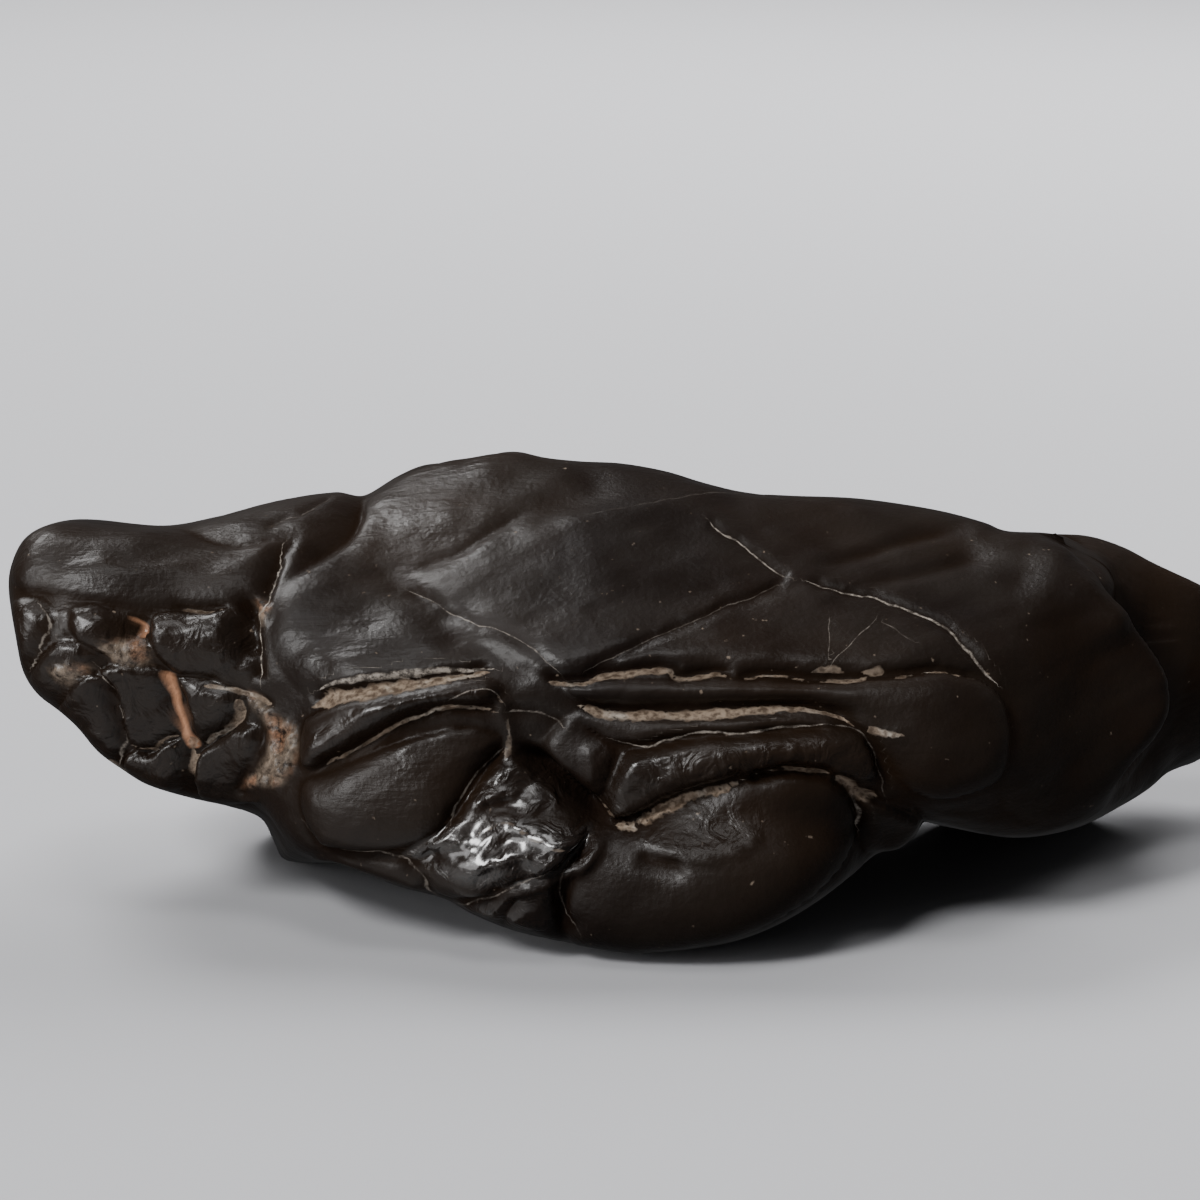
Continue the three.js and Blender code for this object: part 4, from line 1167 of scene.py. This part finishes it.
@dataclass(frozen=True)
class Relief:
    """What stands on the big shape: pillows, creases, veins and the grain of the rock.

    Attributes:
        facing_from: Slope to the eye at which a view starts to draw on a place.
        facing_full: Slope to the eye at which it draws fully.
        least_facing: Least share of facing that a filling shows at.
        bell_room: Reaches beyond its path that a stroke is worked out for.
        bare_taper: Share of a bare line over which each end tapers off.
        filled_taper: Share of a filled line over which each end tapers off.
        end_width: Share of a filling's width that is left at its ends.
        fade: Millimetres beside a filling at which its share starts to fade and is gone.
        rust_edge: Half widths of a rusty filling between which it fades.
        held: Millimetres between points of the skin over which its finest relief fades out.
        hollow_size: Points across the square that a place is compared with.
        hollow_limit: Greatest depth of a hollow in millimetres.
    """

    facing_from: float = 0.03
    facing_full: float = 0.36
    least_facing: float = 0.05
    bell_room: float = 2.5
    bare_taper: float = 0.25
    filled_taper: float = 0.08
    end_width: float = 0.25
    fade: tuple[float, float] = (1.0, 2.4)
    rust_edge: tuple[float, float] = (0.7, 1.2)
    held: tuple[float, float] = (1.3, 2.6)
    hollow_size: int = 9
    hollow_limit: float = 2.0

    def heights(self, points: np.ndarray, normal: np.ndarray,
                spacing: np.ndarray) -> tuple[np.ndarray, dict[str, np.ndarray]]:
        """Adds up the relief and the surface attributes at points of the big shape.

        Args:
            points: Grid of points in millimetres.
            normal: Their unit normals.
            spacing: Millimetres between neighbours in the grid.

        Returns:
            Heights in millimetres, and one grid for each surface attribute.
        """
        marks = {name: np.zeros(points.shape[:-1]) for name in MARKS}
        marks["hair_side"] += FAR_FROM_LINES
        marks["vein_side"] += FAR_FROM_LINES
        heights = np.zeros(points.shape[:-1])
        for view, pillows, strokes, zones in (
            (FRONT, FRONT_PILLOWS, FRONT_STROKES, FRONT_ZONES),
            (BACK, BACK_PILLOWS, BACK_STROKES, {}),
        ):
            to_eye = view.eye - points
            to_eye /= np.linalg.norm(to_eye, axis=-1, keepdims=True)
            facing = smooth_step((normal * to_eye).sum(-1), self.facing_from, self.facing_full)
            if not facing.any():
                continue
            across, down, unit = view.see(points)
            pillow = np.max([p.rise(across, down) for p in pillows], axis=0)
            heights += facing * pillow
            for stroke in strokes:
                heights += facing * self.draw(stroke, across, down, unit, facing, marks)
            for name, patches in zones.items():
                shares = [zone.share(across, down) for zone in patches]
                marks[name] = np.maximum(marks[name], facing * np.max(shares, axis=0))
        heights += self.grain(points, spacing, marks)
        marks["hollow"] = self.hollows(heights)
        return heights, marks

    def draw(self, stroke: Stroke, across: np.ndarray, down: np.ndarray, unit: np.ndarray, facing: np.ndarray,
             marks: dict[str, np.ndarray]) -> np.ndarray:
        """Draws one stroke: a bell-shaped groove or ridge, and its filling's distance and share.

        The bell is lift times exp(-(distance / reach) squared), with a reach for each side, and both ends
        taper off. Hairlines and veins wander a little from their path.

        Args:
            stroke: The line to draw.
            across: Places across the sheet.
            down: Places down the sheet.
            unit: Millimetres per sheet unit at each place.
            facing: How squarely the view sees each place.
            marks: Surface attributes, which the filling is written to.

        Returns:
            Heights in millimetres.
        """
        path = spline(stroke.path, 6, closed=False)
        room = self.bell_room * max(stroke.reaches) + max(stroke.half_widths) + stroke.aside
        low, high = path.min(0) - room, path.max(0) + room
        near = (across > low[0]) & (across < high[0]) & (down > low[1]) & (down < high[1])
        heights = np.zeros(across.shape)
        if not near.any():
            return heights
        distance, passed = path_distance(across[near], down[near], path)
        if stroke.mark in (Mark.HAIRLINE, Mark.VEIN):
            sheet = np.stack([across[near], down[near], np.zeros(distance.shape)], -1)
            distance = distance + LINE_STRAY.rise(sheet)
        end = self.bare_taper if stroke.mark is Mark.BARE else self.filled_taper
        taper = smooth_step(np.minimum(passed, 1 - passed), 0, end)
        off = distance + stroke.aside
        heights[near] = stroke.lift * taper * np.exp(-(off / np.where(off < 0, *stroke.reaches)) ** 2)
        if stroke.mark is Mark.BARE:
            return heights
        narrowing = self.end_width + (1 - self.end_width) * taper
        half = np.interp(passed, [0, 0.5, 1], stroke.half_widths) * narrowing
        if stroke.mark is Mark.RUST:
            inner, outer = self.rust_edge
            covered = 1 - smooth_step(np.abs(distance), half * inner, half * outer)
            rust = stroke.strength * facing[near] * covered
            marks["rust"][near] = np.maximum(marks["rust"][near], rust)
            return heights
        beside = (np.abs(distance) - half) * unit[near]
        share = stroke.strength * (facing[near] > self.least_facing) * (1 - smooth_step(beside, *self.fade))
        name = "hair" if stroke.mark is Mark.HAIRLINE else "vein"
        scaled = distance / half if stroke.mark is Mark.HAIRLINE else np.abs(distance) / half
        stronger = share > marks[name + "_share"][near]
        marks[name + "_share"][near] = np.where(stronger, share, marks[name + "_share"][near])
        marks[name + "_side"][near] = np.where(stronger, scaled, marks[name + "_side"][near])
        return heights

    def grain(self, points: np.ndarray, spacing: np.ndarray, marks: dict[str, np.ndarray]) -> np.ndarray:
        """Uneven skin everywhere, wrinkles in the rough zones and broken rock where it crumbles.

        The skin fades where the grid is too wide to hold it.

        Args:
            points: Grid of points in millimetres.
            spacing: Millimetres between neighbours in the grid.
            marks: Surface attributes.

        Returns:
            Heights in millimetres.
        """
        swell = BROAD_SWELL.rise(points) + NARROW_SWELL.rise(points)
        bed = np.array(BED)
        squeezed = points - BED_SQUEEZE * (points @ bed)[..., None] * bed
        skin = DIMPLES.rise(points) + BED_STREAKS.rise(squeezed)
        leaning = points @ np.array(WRINKLE_LEAN) * np.array(WRINKLE_SQUEEZE)
        wrinkles = WRINKLES.rise(leaning + np.stack([stray.rise(points) for stray in WRINKLE_STRAY], -1))
        broken = BROKEN_ROCK.rise(points)
        held = 1 - smooth_step(spacing, *self.held)
        return swell + held * skin + marks["rough"] * wrinkles + marks["crumble"] * broken

    def hollows(self, heights: np.ndarray) -> np.ndarray:
        """How deep each place lies below its neighbours: the box-smoothed height less the height.

        Args:
            heights: Grid of heights in millimetres.

        Returns:
            Depths in millimetres, nought where a place stands proud.
        """
        kernel = np.ones(self.hollow_size) / self.hollow_size
        padded = np.pad(heights, self.hollow_size // 2, mode="edge")
        smooth = np.apply_along_axis(np.convolve, 0, padded, kernel, "valid")
        smooth = np.apply_along_axis(np.convolve, 1, smooth, kernel, "valid")
        return np.clip(smooth - heights, 0, self.hollow_limit)


@dataclass(frozen=True)
class Fit:
    """The move from the front view's frame, in millimetres, to the part's frame, in metres."""

    scale: np.ndarray
    shift: np.ndarray

    @classmethod
    def between(cls, points: np.ndarray, low: Vector, high: Vector) -> "Fit":
        """Finds the move that takes the box around points onto the node's box.

        Args:
            points: Points in millimetres, one row each.
            low: Lowest corner of the node in metres.
            high: Highest corner of the node in metres.

        Returns:
            The fit.
        """
        scale = (np.array(high) - np.array(low)) / np.ptp(points, axis=0)
        return cls(scale, np.array(low) - points.min(0) * scale)

    def move(self, points: np.ndarray) -> np.ndarray:
        """Moves points from millimetres in the view's frame to metres in the part's frame."""
        return points * self.scale + self.shift


def add_node(tree: bpy.types.NodeTree, kind: str, links: dict, **settings) -> bpy.types.Node:
    """Adds a shader node, sets it up and links it.

    Args:
        tree: Node tree to add to.
        kind: Blender's name for the kind of shader node.
        links: Input name or number to a socket to link, or to a value to set.
        **settings: The node's own settings.

    Returns:
        The new node.
    """
    made = tree.nodes.new("ShaderNode" + kind)
    for name, value in settings.items():
        setattr(made, name, value)
    for key, value in links.items():
        if isinstance(value, bpy.types.NodeSocket):
            tree.links.new(value, made.inputs[key])
        else:
            made.inputs[key].default_value = value
    return made


# Noises that colour and roughen the rock: millimetres between their clouds, and how fine they go
ROCK_NOISES = {
    "clouds": (70, {"Detail": 5.0}),
    "patches": (26, {"Detail": 6.0}),
    "breaks": (9, {"Detail": 3.0}),
    "dust": (3.2, {"Detail": 8.0, "Roughness": 0.78}),
    "specks": (2.2, {"Detail": 2.0}),
    "grit": (1.8, {"Detail": 5.0}),
    "rubbing": (18, {"Detail": 6.0}),
    "grain": (1.6, {"Detail": 4.0}),
    "crinkles": (7, {"Detail": 3.0, "Distortion": 1.2}),
}

# Shares of a colour: the noise they follow, where they start and where they are full, and the shares there
ROCK_SHARES = {
    "cloud": ("clouds", 0.35, 0.65, 0.0, 1.0),
    "patch": ("patches", 0.42, 0.72, 0.0, 0.6),
    "fleck": ("specks", 0.73, 0.8, 0.0, 0.5),
    "crumb": ("dust", 0.38, 0.72, 0.0, 1.0),
    "worn": ("dust", 0.44, 0.56, 1.0, 0.15),
    "chalky": ("breaks", 0.5, 0.7, 0.0, 1.0),
    "dirt": ("grit", 0.6, 0.38, 0.0, 0.85),
}

# Finest relief: its noise, the attribute that strengthens it, by how much, its strength elsewhere, and its
# depth in millimetres
ROCK_BUMPS = (
    ("streaks", "streak", 0.36, 0.16, 1.4),
    ("grain", "crumble", 0.5, 0.35, 0.5),
    ("crinkles", "rough", 1.0, 0.0, 3.0),
)

Sockets = dict[str, bpy.types.NodeSocket]


@dataclass(frozen=True)
class OiledLimestone:
    """Dense dark limestone, water-worn, then oiled and rubbed.

    The oil gives a deep brown-black with a satin sheen, which is duller in the cream and rusty fillings.

    Attributes:
        dark: Colour of the rock.
        warm: Colour of its broad clouds.
        grey: Colour of its patches.
        cream: Colour of the veins and flecks.
        chalk: Colour of the palest filling in the veins.
        line: Colour of the hairlines, and of the painted highlights along the lip over the left shelf, the
            edge of the left lobe and the skirt joint.
        rust: Colour of the rusty filling.
        soil: Colour of the dirt in the veins.
        roughness: Roughness of the rubbed rock.
        smoothest: How far the best rubbed places fall below it.
        roughest: How far the least rubbed places rise above it.
        wax_gain: How far the waxy wrinkles fall below it.
        dull: Roughness of the fillings.
        shine: Mirror strength of the open rock.
        dry_shine: Mirror strength deep in the hollows.
        dry_depth: Millimetres of depth at which a hollow is quite dry.
        wax_from: Share of wrinkling from which a coat of wax lies on the rock.
        wax_roughness: Roughness of the wax.
        vein_breaks: Half widths that coarse noise eats into a vein.
        vein_grit: Half widths that fine noise eats into a vein.
        vein_edge: Half widths, noise added, at which a vein is gone and at which it is full.
        hair_grit: Half widths that fine noise eats into a hairline.
        hair_edge: Half widths, noise added, at which a hairline is gone and at which it is full.
        streak_size: Millimetres between the rubbed streaks.
        streak_turn: Degrees that the streaks are turned about each axis.
        streak_squeeze: Squeeze of the noise along each axis, which draws the streaks out.
    """

    dark: str = "#110b08"
    warm: str = "#1b120b"
    grey: str = "#191410"
    cream: str = "#7b6d5f"
    chalk: str = "#a59d92"
    line: str = "#8d857c"
    rust: str = "#9f7357"
    soil: str = "#382c22"
    roughness: float = 0.385
    smoothest: float = 0.06
    roughest: float = 0.08
    wax_gain: float = 0.14
    dull: float = 0.8
    shine: float = 0.19
    dry_shine: float = 0.03
    dry_depth: float = 0.9
    wax_from: float = 0.3
    wax_roughness: float = 0.2
    vein_breaks: float = 2.2
    vein_grit: float = 2.0
    vein_edge: tuple[float, float] = (3.3, 2.8)
    hair_grit: float = 1.6
    hair_edge: tuple[float, float] = (1.9, 1.2)
    streak_size: float = 5.0
    streak_turn: Triple = (0.0, 20.0, -33.0)
    streak_squeeze: Triple = (0.16, 1.0, 1.0)

    def material(self) -> bpy.types.Material:
        """Builds the material.

        Returns:
            The finished material.
        """
        made = bpy.data.materials.new("oiled_dark_limestone")
        made.use_nodes = True
        tree = made.node_tree
        shader = tree.nodes["Principled BSDF"]
        place = add_node(tree, "TexCoord", {}).outputs["Object"]
        mark = {}
        for name in MARKS:
            mark[name] = add_node(tree, "Attribute", {}, attribute_name=name).outputs["Fac"]
        noise = {}
        for name, (size, inputs) in ROCK_NOISES.items():
            links = {"Vector": place, "Scale": 1 / (size * MM), **inputs}
            noise[name] = add_node(tree, "TexNoise", links).outputs["Fac"]
        colour, filled = self.colour(tree, noise, mark)
        dry = add_node(tree, "MapRange", {
            "Value": mark["hollow"], "From Max": self.dry_depth,
            "To Min": self.shine, "To Max": self.dry_shine})
        wax = add_node(tree, "MapRange", {"Value": mark["rough"], "From Min": self.wax_from})
        for name, socket in {
            "Base Color": colour,
            "Roughness": self.sheen(tree, noise, mark, filled),
            "Normal": self.bump(tree, place, noise, mark),
            "Specular IOR Level": dry.outputs[0],
            "Coat Weight": wax.outputs[0],
        }.items():
            tree.links.new(socket, shader.inputs[name])
        shader.inputs["Coat Roughness"].default_value = self.wax_roughness
        return made

    def colour(self, tree: bpy.types.NodeTree, noise: Sockets,
               mark: Sockets) -> tuple[bpy.types.NodeSocket, bpy.types.NodeSocket]:
        """Mixes the rock's colours: brown-black clouds, then fillings in cream, chalk and rust.

        Args:
            tree: Node tree to add to.
            noise: Noises in the rock.
            mark: Surface attributes.

        Returns:
            The colour, and how fully a filling covers the rock.
        """
        share = {}
        for name, (source, start, full, first, last) in ROCK_SHARES.items():
            share[name] = add_node(tree, "MapRange", {
                "Value": noise[source], "From Min": start, "From Max": full, "To Min": first, "To Max": last,
            }).outputs[0]
        vein, hair = self.lines(tree, noise, mark, share["worn"])
        crumbs = add_node(tree, "Math", {0: share["crumb"], 1: mark["crumble"]}, operation="MULTIPLY")
        clean = add_node(tree, "Mix", {
            0: share["chalky"], 6: linear(self.cream), 7: linear(self.chalk)}, data_type="RGBA")
        pale = add_node(tree, "Mix", {
            0: share["dirt"], 6: clean.outputs[2], 7: linear(self.soil)}, data_type="RGBA")
        stained = add_node(tree, "Mix", {
            0: share["chalky"], 6: linear(self.cream), 7: linear(self.rust)}, data_type="RGBA")
        colour = linear(self.dark)
        for amount, over in (
            (share["cloud"], linear(self.warm)),
            (share["patch"], linear(self.grey)),
            (share["fleck"], linear(self.cream)),
            (crumbs.outputs[0], stained.outputs[2]),
            (mark["rust"], linear(self.rust)),
            (vein, pale.outputs[2]),
            # Hairlines, and the painted highlights that are drawn as hairlines
            (hair, linear(self.line)),
        ):
            mixed = add_node(tree, "Mix", {0: amount, 6: colour, 7: over}, data_type="RGBA")
            colour = mixed.outputs[2]
        filled = add_node(tree, "Math", {0: vein, 1: mark["rust"]}, operation="MAXIMUM")
        return colour, filled.outputs[0]

    def lines(self, tree: bpy.types.NodeTree, noise: Sockets, mark: Sockets,
              worn: bpy.types.NodeSocket) -> tuple[bpy.types.NodeSocket, bpy.types.NodeSocket]:
        """Works out where veins and hairlines show: noise frays their edges, and wear breaks the hairlines.

        Args:
            tree: Node tree to add to.
            noise: Noises in the rock.
            mark: Surface attributes.
            worn: What wear leaves of the hairlines.

        Returns:
            Share of the veins and share of the hairlines.
        """
        broken = add_node(tree, "Math", {0: noise["breaks"], 1: self.vein_breaks, 2: mark["vein_side"]},
                          operation="MULTIPLY_ADD")
        ragged = add_node(tree, "Math", {0: noise["grit"], 1: self.vein_grit, 2: broken.outputs[0]},
                          operation="MULTIPLY_ADD")
        vein_gone, vein_full = self.vein_edge
        vein = add_node(tree, "MapRange", {
            "Value": ragged.outputs[0], "From Min": vein_gone, "From Max": vein_full})
        vein_share = add_node(tree, "Math", {0: vein.outputs[0], 1: mark["vein_share"]}, operation="MULTIPLY")
        edge = add_node(tree, "Math", {0: mark["hair_side"]}, operation="ABSOLUTE")
        frayed = add_node(tree, "Math", {0: noise["grit"], 1: self.hair_grit, 2: edge.outputs[0]},
                          operation="MULTIPLY_ADD")
        hair_gone, hair_full = self.hair_edge
        hair = add_node(tree, "MapRange", {
            "Value": frayed.outputs[0], "From Min": hair_gone, "From Max": hair_full})
        left = add_node(tree, "Math", {0: hair.outputs[0], 1: worn}, operation="MULTIPLY")
        hair_share = add_node(tree, "Math", {0: left.outputs[0], 1: mark["hair_share"]}, operation="MULTIPLY")
        return vein_share.outputs[0], hair_share.outputs[0]

    def sheen(self, tree: bpy.types.NodeTree, noise: Sockets, mark: Sockets,
              filled: bpy.types.NodeSocket) -> bpy.types.NodeSocket:
        """Works out the roughness: satin rock, uneven where it was rubbed, dull fillings.

        Args:
            tree: Node tree to add to.
            noise: Noises in the rock.
            mark: Surface attributes.
            filled: How fully a filling covers the rock.

        Returns:
            The roughness.
        """
        uneven = add_node(tree, "MapRange", {
            "Value": noise["rubbing"], "From Min": 0.3, "From Max": 0.7,
            "To Min": self.roughness - self.smoothest, "To Max": self.roughness + self.roughest})
        waxed = add_node(tree, "Math", {0: mark["rough"], 1: -self.wax_gain, 2: uneven.outputs[0]},
                         operation="MULTIPLY_ADD")
        return add_node(tree, "Mix", {0: filled, 2: waxed.outputs[0], 3: self.dull}).outputs[0]

    def bump(self, tree: bpy.types.NodeTree, place: bpy.types.NodeSocket, noise: Sockets,
             mark: Sockets) -> bpy.types.NodeSocket:
        """Adds the finest relief: rubbed streaks, grain and crinkles.

        Args:
            tree: Node tree to add to.
            place: Object coordinates.
            noise: Noises in the rock.
            mark: Surface attributes.

        Returns:
            The bumped normal.
        """
        turn = tuple(math.radians(angle) for angle in self.streak_turn)
        turned = add_node(tree, "Mapping", {"Vector": place, "Rotation": turn, "Scale": self.streak_squeeze})
        streaks = add_node(tree, "TexNoise", {
            "Vector": turned.outputs[0], "Scale": 1 / (self.streak_size * MM), "Detail": 5.0})
        heights = {**noise, "streaks": streaks.outputs["Fac"]}
        normal = {}
        for name, strengthened_by, gain, elsewhere, depth in ROCK_BUMPS:
            strength = add_node(tree, "Math", {0: mark[strengthened_by], 1: gain, 2: elsewhere},
                                operation="MULTIPLY_ADD")
            bumped = add_node(tree, "Bump", {
                "Height": heights[name], "Strength": strength.outputs[0], "Distance": depth * MM, **normal})
            normal = {"Normal": bumped.outputs[0]}
        return normal["Normal"]


@dataclass(frozen=True)
class Lamp:
    """A soft lamp of the studio: far off, or a panel.

    Attributes:
        name: What the lamp is.
        strength: Watts per square metre of a far lamp, or watts of a panel.
        spot: Where it hangs, in metres; only the way from there to its aim counts for a far lamp.
        aim: Point that it looks at, in metres.
        spread: Degrees that a far lamp covers of the sky.
        size: Width and height of a panel in metres, or nothing for a far lamp.
        mirrored: Whether the stone mirrors it.
    """

    name: str
    strength: float
    spot: Triple
    aim: Triple = (0.0, 0.0, 0.0)
    spread: float = 0.0
    size: tuple[float, float] | None = None
    mirrored: bool = True

    def hang(self) -> None:
        """Hangs the lamp, out of the camera's sight."""
        if self.size:
            data = bpy.data.lights.new(self.name, "AREA")
            data.shape = "RECTANGLE"
            data.size, data.size_y = self.size
        else:
            data = bpy.data.lights.new(self.name, "SUN")
            data.angle = math.radians(self.spread)
        data.energy = self.strength
        lamp = bpy.data.objects.new(self.name, data)
        lamp.location = self.spot
        lamp.rotation_euler = (Vector(self.aim) - Vector(self.spot)).to_track_quat("-Z", "Y").to_euler()
        lamp.visible_camera = False
        lamp.visible_glossy = self.mirrored
        bpy.context.scene.collection.objects.link(lamp)


# Four far lamps, a panel behind, and a low card at the left, whose shine the lower faces show
LAMPS = (
    Lamp("left light", 1.3, (-1.0, -0.75, 0.35), spread=30),
    Lamp("key light", 2.6, (-0.42, 0.5, 0.76), spread=26),
    Lamp("top light", 0.8, (-0.05, -0.3, 1.0), spread=20),
    Lamp("front light", 3.6, (-0.8, -0.85, 1.0), spread=16),
    Lamp("back panel", 100.0, (0.9, 1.9, 1.6), (0.15, 1.2, 0), size=(3.0, 1.2), mirrored=False),
    Lamp("low card", 0.42, (-0.27, -0.26, 0.003), (-0.27, -0.26, 1.0), size=(0.45, 0.36)),
)


@dataclass(frozen=True)
class Studio:
    """A plain pale floor, soft lamps and the camera.

    Attributes:
        floor_half: Half width of the floor in metres.
        floor_colour: The floor's colour.
        floor_roughness: The floor's roughness.
        sky_colour: Colour of the even light from all round.
        sky_strength: Strength of the even light.
        sensor_width: Width of the camera's sensor in millimetres.
    """

    floor_half: float = 9.0
    floor_colour: str = "#a2a2a5"
    floor_roughness: float = 0.85
    sky_colour: str = "#e6e7ea"
    sky_strength: float = 0.1
    sensor_width: float = 36.0

    def build(self, fit: Fit) -> None:
        """Lays the floor, hangs the lamps, lights the room faintly and sets up the camera.

        Args:
            fit: Move from the front view's frame to the part's frame.
        """
        self.floor()
        for lamp in LAMPS:
            lamp.hang()
        self.sky()
        self.camera(fit)

    def floor(self) -> None:
        """Lays the floor: one square face under the stone, which the stone doesn't mirror."""
        half = self.floor_half
        corners = [(-half, -half, 0), (half, -half, 0), (half, half, 0), (-half, half, 0)]
        mesh = bpy.data.meshes.new("floor")
        mesh.from_pydata(corners, [], [(0, 1, 2, 3)])
        made = bpy.data.materials.new("pale_plaster")
        made.use_nodes = True
        shader = made.node_tree.nodes["Principled BSDF"]
        shader.inputs["Roughness"].default_value = self.floor_roughness
        shader.inputs["Base Color"].default_value = linear(self.floor_colour)
        mesh.materials.append(made)
        floor = bpy.data.objects.new("floor", mesh)
        floor.visible_glossy = False
        bpy.context.scene.collection.objects.link(floor)

    def sky(self) -> None:
        """Lights the room faintly and evenly from all round."""
        world = bpy.data.worlds.new("even light")
        world.use_nodes = True
        sky = world.node_tree.nodes["Background"]
        sky.inputs["Color"].default_value = linear(self.sky_colour)
        sky.inputs["Strength"].default_value = self.sky_strength
        bpy.context.scene.world = world

    def camera(self, fit: Fit) -> None:
        """Sets up the camera at the eye of the front view.

        Args:
            fit: Move from the front view's frame to the part's frame.
        """
        data = bpy.data.cameras.new("camera")
        data.sensor_width = self.sensor_width
        data.lens = data.sensor_width * FRONT.focus / (2 * FRONT.middle)
        camera = bpy.data.objects.new("camera", data)
        eye, target = Vector(fit.move(FRONT.eye)), Vector(fit.move(FRONT.target))
        camera.location = eye
        camera.rotation_euler = (target - eye).to_track_quat("-Z", "Y").to_euler()
        bpy.context.scene.collection.objects.link(camera)
        bpy.context.scene.camera = camera


def main() -> None:
    """Builds the stone and the studio."""
    logging.basicConfig(level=logging.INFO)
    stone = Stone()
    piece, fit = stone.build()
    stone.dress(piece, OiledLimestone())
    LOG.info("stone: %d triangles", len(piece.data.polygons))
    Studio().build(fit)
    LOG.info("studio: floor, lights and camera")


if __name__ == "__main__":
    main()
